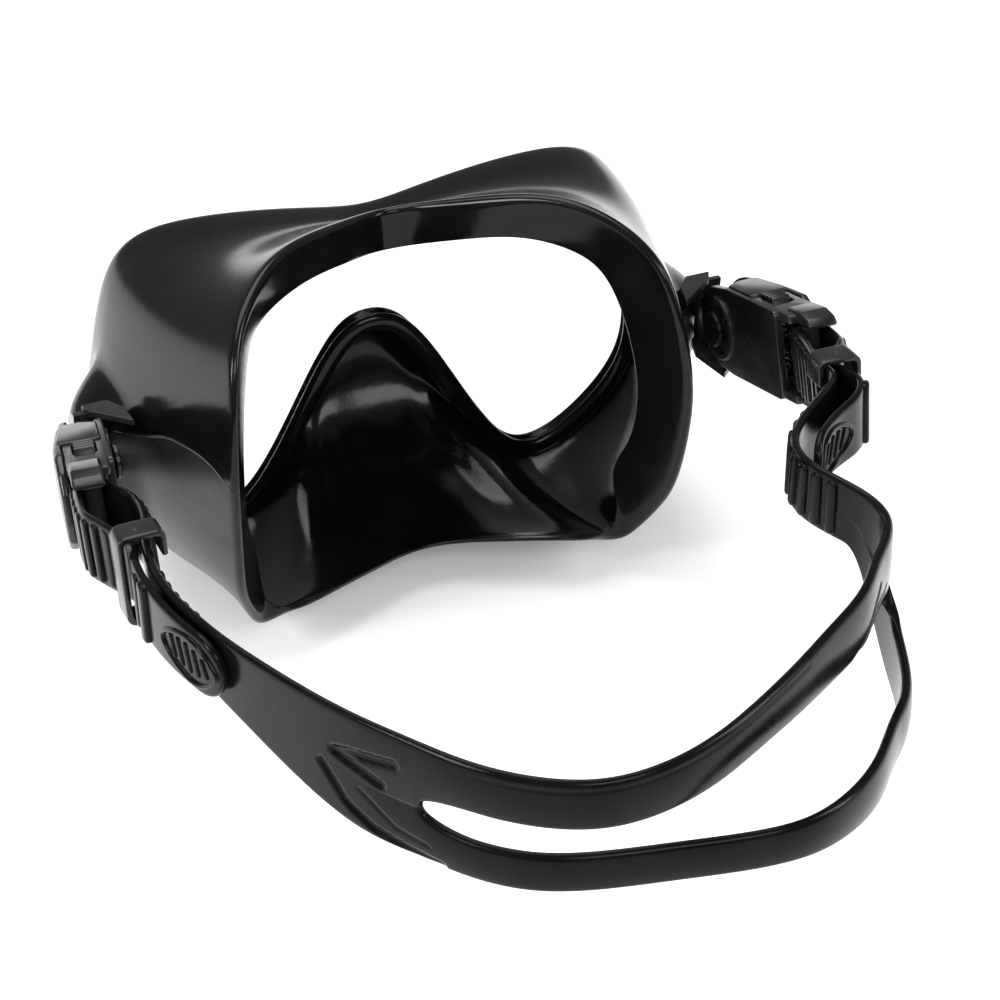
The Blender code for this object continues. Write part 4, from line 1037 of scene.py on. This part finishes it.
def build_ribs(fr):
    """Rounded ratchet ribs across the strap, and the ridge-filled oval pads on
    both tails."""
    verts, faces = [], []

    def bar(s, half_s, d0, d1, height):
        """One rounded rib centred on run s, from d0 to d1 across the strap."""
        here = strap_point(fr, s, STRAP_W / 2, STRAP_W, 0.0)
        for side in ("left", "right"):      # ribs that a keeper slides over are worn low
            away = math.hypot(here[0] - KEEPER[side][0], here[1] - KEEPER[side][1])
            if away < 13.0:
                height *= 0.12 if side == "left" and away < 11.0 else 0.45
        base = len(verts)
        prof = [(-1.0, -0.35), (-1.0, 0.45), (-0.82, 0.8), (-0.45, 1.0), (0.0, 1.04), (0.45, 1.0), (0.82, 0.8), (1.0, 0.45), (1.0, -0.35)]
        ends = [(0.0, 0.35, 0.55), (0.25, 0.75, 0.85), (0.7, 0.95, 0.97), (1.3, 1.0, 1.0)]
        stops = [(d0 + a, b, c) for a, b, c in ends] + [(d0 + (d1 - d0) * t, 1, 1) for t in (0.3, 0.5, 0.7)] + \
            [(d1 - a, b, c) for a, b, c in reversed(ends)]
        for d, wide, high in stops:
            for a, h in prof:
                verts.append(strap_point(fr, s + a * half_s * wide, d, STRAP_W, h * height * (high if h > 0 else 1)))
        m = len(prof)
        for r in range(len(stops) - 1):
            for k in range(m):
                j = (k + 1) % m
                faces.append((base + r * m + k, base + r * m + j, base + (r + 1) * m + j, base + (r + 1) * m + k))
        faces.append(tuple(base + k for k in range(m)))
        faces.append(tuple(base + (len(stops) - 1) * m + k for k in range(m)))

    total = fr["run"][-1]
    s = 41.3
    while s < 190.0:
        for at in (s, total - s):
            bar(at, 1.65, 1.3, STRAP_W - 1.3, 0.8)
        s += 5.1
    for at in (35.6, total - 35.6):
        bar(at, 2.2, 0.2, STRAP_W - 0.1, 1.15)

    def tube(points, radius, height):
        """A raised round-topped line on the tail's outer face."""
        base, n = len(verts), len(points)
        prof = [(-1, -0.4), (-0.9, 0.5), (-0.4, 0.95), (0.0, 1.05), (0.4, 0.95), (0.9, 0.5), (1, -0.4)]
        pts = np.array(points, float)
        tang = np.roll(pts, -1, 0) - np.roll(pts, 1, 0)
        tang /= np.linalg.norm(tang, axis=1)[:, None] + 1e-12
        nrm = np.column_stack([-tang[:, 1], tang[:, 0]])
        for q, m_ in zip(pts, nrm):
            for a, h in prof:
                r = q + m_ * a * radius
                verts.append(strap_point(fr, r[0], r[1], STRAP_W, h * height))
        m = len(prof)
        for i in range(n):
            j = (i + 1) % n
            for k in range(m):
                l = (k + 1) % m
                faces.append((base + i * m + k, base + i * m + l, base + j * m + l, base + j * m + k))

    for mirror in (False, True):
        place = (lambda s, d: (total - s, d)) if mirror else (lambda s, d: (s, d))
        loop = []
        for k in range(72):
            a = 2 * math.pi * k / 72
            c = math.cos(a)
            sq = abs(c)**1.25 * (1 if c > 0 else -1)
            loop.append(place(13.2 + 11.4 * sq, 9.0 + 6.5 * math.sin(a) * (1 - 0.16 * c)))
        tube(loop, 0.75, 0.7)
        for k in range(5):        # grip ridges inside the oval
            s0 = 6.6 + 3.3 * k
            reach = 3.9 - 0.42 * abs(k - 2.2)**1.6
            a, b = place(s0, 9.0)
            line = [(a + (0.8 if not mirror else -0.8) * math.cos(t), 9.0 + reach * t2) for t, t2 in
                    [(0, -1), (0.6, -0.75), (1.1, -0.4), (1.57, 0), (2.0, 0.4), (2.5, 0.75), (3.1, 1)]]
            back = [(x - 0.5, y) for x, y in reversed(line)]
            tube(line + back, 0.35, 0.42)
    obj = new_object("head_strap_ribs", verts, faces, 50)
    return dress(obj, STRAP, "strap_silicone", "harness")


# -------------------------------------------------------------------- buckles
def disc_poly(radius, u_end, half, count=28, tail=None, corner=1.6):
    pts = [(radius * math.cos(math.radians(90 + 180 * k / (count - 1))),
            radius * math.sin(math.radians(90 + 180 * k / (count - 1)))) for k in range(count)]
    rest = [(6.0, -half)] + (tail or [(u_end, -half), (u_end, half)]) + [(6.0, half)]
    pts = pts + rest
    radii = [0.0] * count + [3.0] + [corner] * (len(rest) - 2) + [3.0]
    return round_poly(pts, radii, 5)


def build_buckle(side):
    tag = side + "_"
    m = buckle_matrix(side)

    # inner plate, side walls with a scooped recess round each button, pads
    plate = soft_prism(tag + "plate", disc_poly(11.8, 37.5, BODY_HALF), 0.0, 2.2, "X", 0.35, 0.35, angle=35)
    pieces = [plate]
    for sign, word in ((1, "upper"), (-1, "lower")):
        lo, hi = sorted((sign * 10.2, sign * BODY_HALF))
        front = 12.0 - COVER_DRAW_IN * (COVER_BEND_U - 4.6)
        poly = round_poly([(1.2, 4.6), (1.2, 44.0), (8.6, 44.0), (12.0, 40.5), (12.0, COVER_BEND_U), (front, 4.6)],
                          [0.8, 1.2, 1.6, 1.6, 3.0, 0.8], 4)
        wall = soft_prism(tag + word + "_wall", poly, lo, hi, "Z", 0.15 if sign > 0 else 0.55, 0.55 if sign > 0 else 0.15)
        # the walls turn down over the pivot at the front
        a, b = sorted((sign * 8.2, sign * 16.0))
        well = soft_box(tag + word + "_well", (3.3, 20.5, a), (9.8, 31.6, b), 1.8, 0.01, "Z")
        boolean(wall, [well], "DIFFERENCE")
        lo, hi = sorted((sign * 9.6, sign * 13.3))
        pad = pad_shape(tag + word + "_pad", sign)
        pieces += [wall, pad]
    cutter = rod(tag + "pivot_hole", (1.0, 0, 0), 2.9, 6.0, "X", 40, 0.01)
    boolean(pieces[0], [cutter], "DIFFERENCE")
    rib = soft_box(tag + "centre_rib", (1.2, 22.0, -1.1), (9.0, 30.0, 1.1), 0.4, 0.2)
    ring = swivel_boss(tag + "swivel_boss")
    body = join(pieces + [rib, ring], tag + "buckle_frame")
    stand(body, m, side)
    dress(body, NYLON, "black_nylon", "harness", tag + "buckle_body")

    # outer cover: a long shell with a crowned face and turned-down rims
    tail = [(29.0, -12.9), (34.2, -9.4), (36.6, -4.0), (36.6, 4.0), (34.2, 9.4), (29.0, 12.9)]
    poly = disc_poly(12.4, 29.0, 12.9, tail=tail, corner=2.2)
    cover = soft_prism(tag + "shell", poly, 12.3, 14.6, "X", 0.5, 1.3, crown=0.45, steps=5)
    bm = bmesh.new()
    bm.from_mesh(cover.data)
    for cut in (24.0, 22.0, 20.0, 18.0, 16.0, 14.0, 11.0, 8.0, 4.0, 0.0, -4.0, -8.0):
        bmesh.ops.bisect_plane(bm, geom=list(bm.verts) + list(bm.edges) + list(bm.faces), dist=1e-7,
                               plane_co=(0, cut * MM, 0), plane_no=(0, 1, 0))
    for v in bm.verts:
        ahead = max(0.0, (COVER_BEND_U + 4.0) * MM - v.co.y)
        v.co.x -= COVER_DRAW_IN * ahead * ahead / (ahead + 0.004)
    bm.to_mesh(cover.data)
    bm.free()
    soften(cover, 40)
    parts = [cover]
    for sign in (1, -1):
        lo, hi = sorted((sign * 12.15, sign * 13.2))
        flange = round_poly([(1.6, 5.4), (1.6, 19.6), (3.6, 20.0), (12.9, 20.0), (13.3, 17.0), (11.4, 4.2), (10.6, 3.2), (6.0, 3.2)],
                            [0.8, 0.6, 0.6, 0.8, 1.2, 0.8, 0.5, 1.2], 3)
        parts.append(soft_prism(tag + "flange", flange, lo, hi, "Z", 0.1 if sign > 0 else 0.5, 0.5 if sign > 0 else 0.1))
    cover = join(parts, tag + "buckle_shell")
    stand(cover, m, side)
    dress(cover, NYLON, "black_nylon", "harness", tag + "buckle_cover")

    for word, sign in (("upper", 1), ("lower", -1)):
        button = button_shape(f"{tag}{word}_button_cap", sign)
        stand(button, m, side)
        dress(button, GRIP, "grip_nylon", f"{tag}{word}_button", f"{tag}{word}_button")
        coil = coil_shape(f"{tag}{word}_spring_coil", sign)
        stand(coil, m, side)
        dress(coil, STEEL, "stainless_steel", "harness", f"{tag}{word}_button_spring")
        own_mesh(coil)


def pad_shape(name, sign):
    """Squared pad over the roller: a flat top falling away in two facets."""
    prof = [(37.6, 9.6), (37.6, 12.7), (38.4, 13.3), (46.2, 13.5), (50.2, 12.3), (51.6, 10.9), (51.6, 9.6)]
    poly = round_poly([(u, sign * v) for u, v in prof], [0.3, 0.5, 0.6, 1.2, 1.0, 0.5, 0.3], 4)
    return soft_prism(name, poly, 3.4, 11.8, "X", 0.9, 0.9, steps=4, angle=50)


def swivel_boss(name):
    """Open C-shaped collar round the swivel on the inner plate."""
    verts, faces = [], []
    prof = [(7.4, 0.2), (7.4, -0.7), (7.7, -1.0), (9.0, -1.0), (9.3, -0.7), (9.3, 0.2)]
    n = 40
    for k in range(n + 1):
        a = math.radians(-160 + 250 * k / n)
        for r, x in prof:
            verts.append((x, r * math.cos(a), r * math.sin(a)))
    m = len(prof)
    for k in range(n):
        for j in range(m):
            l = (j + 1) % m
            faces.append((k * m + j, k * m + l, (k + 1) * m + l, (k + 1) * m + j))
    faces += [tuple(range(m)), tuple(n * m + j for j in range(m))]
    return new_object(name, verts, faces, 35)


def button_shape(name, sign):
    """Squeeze button with four grip ridges and a plain sloping heel."""
    prof = [(21.0, 8.4), (21.0, 11.4), (21.2, 11.6)]
    for k in range(4):
        u = 21.5 + 2.0 * k
        prof += [(u, 11.6), (u + 0.15, 13.5), (u + 0.62, 13.9), (u + 1.10, 13.5), (u + 1.25, 11.6)]
    prof += [(29.4, 11.6), (30.6, 11.2), (31.0, 10.8), (31.0, 8.4)]
    poly = round_poly([(u, sign * v) for u, v in prof], 0.1, 2)
    return soft_prism(name, poly, 3.85, 9.25, "X", 0.2, 0.2, steps=3, angle=45)


def coil_shape(name, sign):
    turns, per, radius, wire = 3.5, 22, 2.0, 0.32
    lo, hi = 1.1 + 0.3 + wire, 8.4 - 0.3 - wire
    verts, faces, ring = [], [], 10
    count = int(turns * per) + 1
    for k in range(count):
        a = 2 * math.pi * k / per
        v = lo + (hi - lo) * k / (count - 1)
        out = Vector((math.cos(a), math.sin(a), 0))
        tangent = Vector((-math.sin(a) * radius, math.cos(a) * radius, (hi - lo) / (turns * 2 * math.pi))).normalized()
        other = tangent.cross(out)
        for j in range(ring):
            b = 2 * math.pi * j / ring
            q = Vector((6.5, 26.0, v)) + out * (radius + wire * math.cos(b)) + other * wire * math.sin(b)
            verts.append((q.x, q.y, sign * q.z))
    for k in range(count - 1):
        for j in range(ring):
            l = (j + 1) % ring
            faces.append((k * ring + j, k * ring + l, (k + 1) * ring + l, (k + 1) * ring + j))
    faces += [tuple(range(ring)), tuple((count - 1) * ring + j for j in range(ring))]
    return new_object(name, verts, faces, 60)


def build_keeper(side):
    """Open C clip with a small moulding dot on its top plate."""
    tx, ly, hz = (v / 2 for v in KEEPER_SIZE)
    w, mouth = KEEPER_WALL, hz - 7.2
    outline = [(-tx, mouth), (-tx, hz), (tx, hz), (tx, -hz), (-tx, -hz), (-tx, -mouth),
               (-tx + w, -mouth), (-tx + w, -hz + w), (tx - w, -hz + w), (tx - w, hz - w), (-tx + w, hz - w), (-tx + w, mouth)]
    radii = [0.6, 2.0, 2.3, 2.3, 2.0, 0.6, 0.6, 1.0, 1.2, 1.2, 1.0, 0.6]
    clip = soft_prism(side + "_keeper_clip", round_poly(outline, radii, 6), -ly, ly, "Y", 0.5, 0.5, steps=4, angle=50)
    dot = rod(side + "_dot", (0.6, 0.4, hz + 0.02), 0.55, 0.3, "Z", 20, 0.1)
    clip = join([clip, dot], side + "_keeper_clip")
    stand(clip, keeper_matrix(side), side)
    return dress(clip, NYLON, "black_nylon", side + "_keeper", side + "_keeper")


# ----------------------------------------------------------------- build it
build_skirt()
build_lens()
strap_frame = build_strap()
build_ribs(strap_frame)
for side in ("left", "right"):
    build_buckle(side)
    build_keeper(side)

KEPT = {"swivel_bracket": (NYLON, 0.35), "pawl": (GRIP, 0.2), "strap_roller": (NYLON, 0.0),
        "swivel_pin": (BLACK_STEEL, 0.0), "pawl_pin": (STEEL, 0.0), "roller_pin": (STEEL, 0.0)}
for name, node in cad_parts.items():
    for word, (mat, bevel) in KEPT.items():
        if name in ("left_" + word, "right_" + word):
            node.data.materials.clear()
            node.data.materials.append(mat)
            for poly in node.data.polygons:
                poly.material_index = 0
            if bevel:
                mod = node.modifiers.new("edge", "BEVEL")
                mod.width = bevel * MM
                mod.segments = 2
                mod.limit_method = "ANGLE"
                mod.angle_limit = math.radians(40)
                mod.harden_normals = False

# ------------------------------------------------------------ stage and light
floor_z = cad_box[0][2] - 0.0004
mesh = bpy.data.meshes.new("floor")
bm = bmesh.new()
bmesh.ops.create_grid(bm, x_segments=40, y_segments=40, size=6.0)
bm.to_mesh(mesh)
bm.free()
floor = bpy.data.objects.new("floor", mesh)
floor.location = (0, 0, floor_z)
mesh.materials.append(floor_material())
bpy.context.scene.collection.objects.link(floor)

world = bpy.data.worlds.new("studio")
world.use_nodes = True
world.node_tree.nodes["Background"].inputs["Color"].default_value = (0.93, 0.96, 1.0, 1)
world.node_tree.nodes["Background"].inputs["Strength"].default_value = 0.31
bpy.context.scene.world = world


def area_light(name, place, aim, size, power, size_y=None):
    data = bpy.data.lights.new(name, "AREA")
    data.energy = power
    data.shape = "RECTANGLE" if size_y else "SQUARE"
    data.size = size
    if size_y:
        data.size_y = size_y
    lamp = bpy.data.objects.new(name, data)
    lamp.location = place
    direction = Vector(aim) - Vector(place)
    lamp.rotation_euler = direction.to_track_quat("-Z", "Y").to_euler()
    bpy.context.scene.collection.objects.link(lamp)
    return lamp


area_light("top_soft", (0.1, -0.5, 1.5), (0.0, 0.05, 0.0), 1.5, 34.0)
area_light("left_soft", (1.25, 0.35, 0.75), (0.05, 0.08, 0.0), 0.38, 14.0, 0.55)
area_light("right_strip", (-1.2, 0.6, 0.6), (-0.05, 0.1, 0.0), 0.25, 9.0, 0.9)
area_light("back_soft", (-0.1, 1.5, 1.3), (0.0, 0.1, 0.0), 1.2, 14.0, 0.5)

camera_data = bpy.data.cameras.new("camera")
camera = bpy.data.objects.new("camera", camera_data)
bpy.context.scene.collection.objects.link(camera)
azimuth, elevation, roll = (math.radians(v) for v in (160.5, 38.0, -0.69))
back = Vector((math.sin(azimuth) * math.cos(elevation), -math.cos(azimuth) * math.cos(elevation), math.sin(elevation)))
right = (-back).cross(Vector((0, 0, 1))).normalized()
up = right.cross(-back)
right, up = math.cos(roll) * right + math.sin(roll) * up, -math.sin(roll) * right + math.cos(roll) * up
camera.matrix_world = Matrix(((right.x, up.x, back.x, 0.2021), (right.y, up.y, back.y, 0.6798),
                              (right.z, up.z, back.z, 0.4842), (0, 0, 0, 1)))
camera_data.lens = 108.0
camera_data.sensor_width = 36.0
camera_data.clip_start = 0.01
camera_data.clip_end = 50.0
bpy.context.scene.camera = camera
bpy.context.scene.view_settings.view_transform = "Standard"
bpy.context.scene.view_settings.look = "None"
bpy.context.scene.view_settings.exposure = 0.0

bpy.context.view_layer.update()
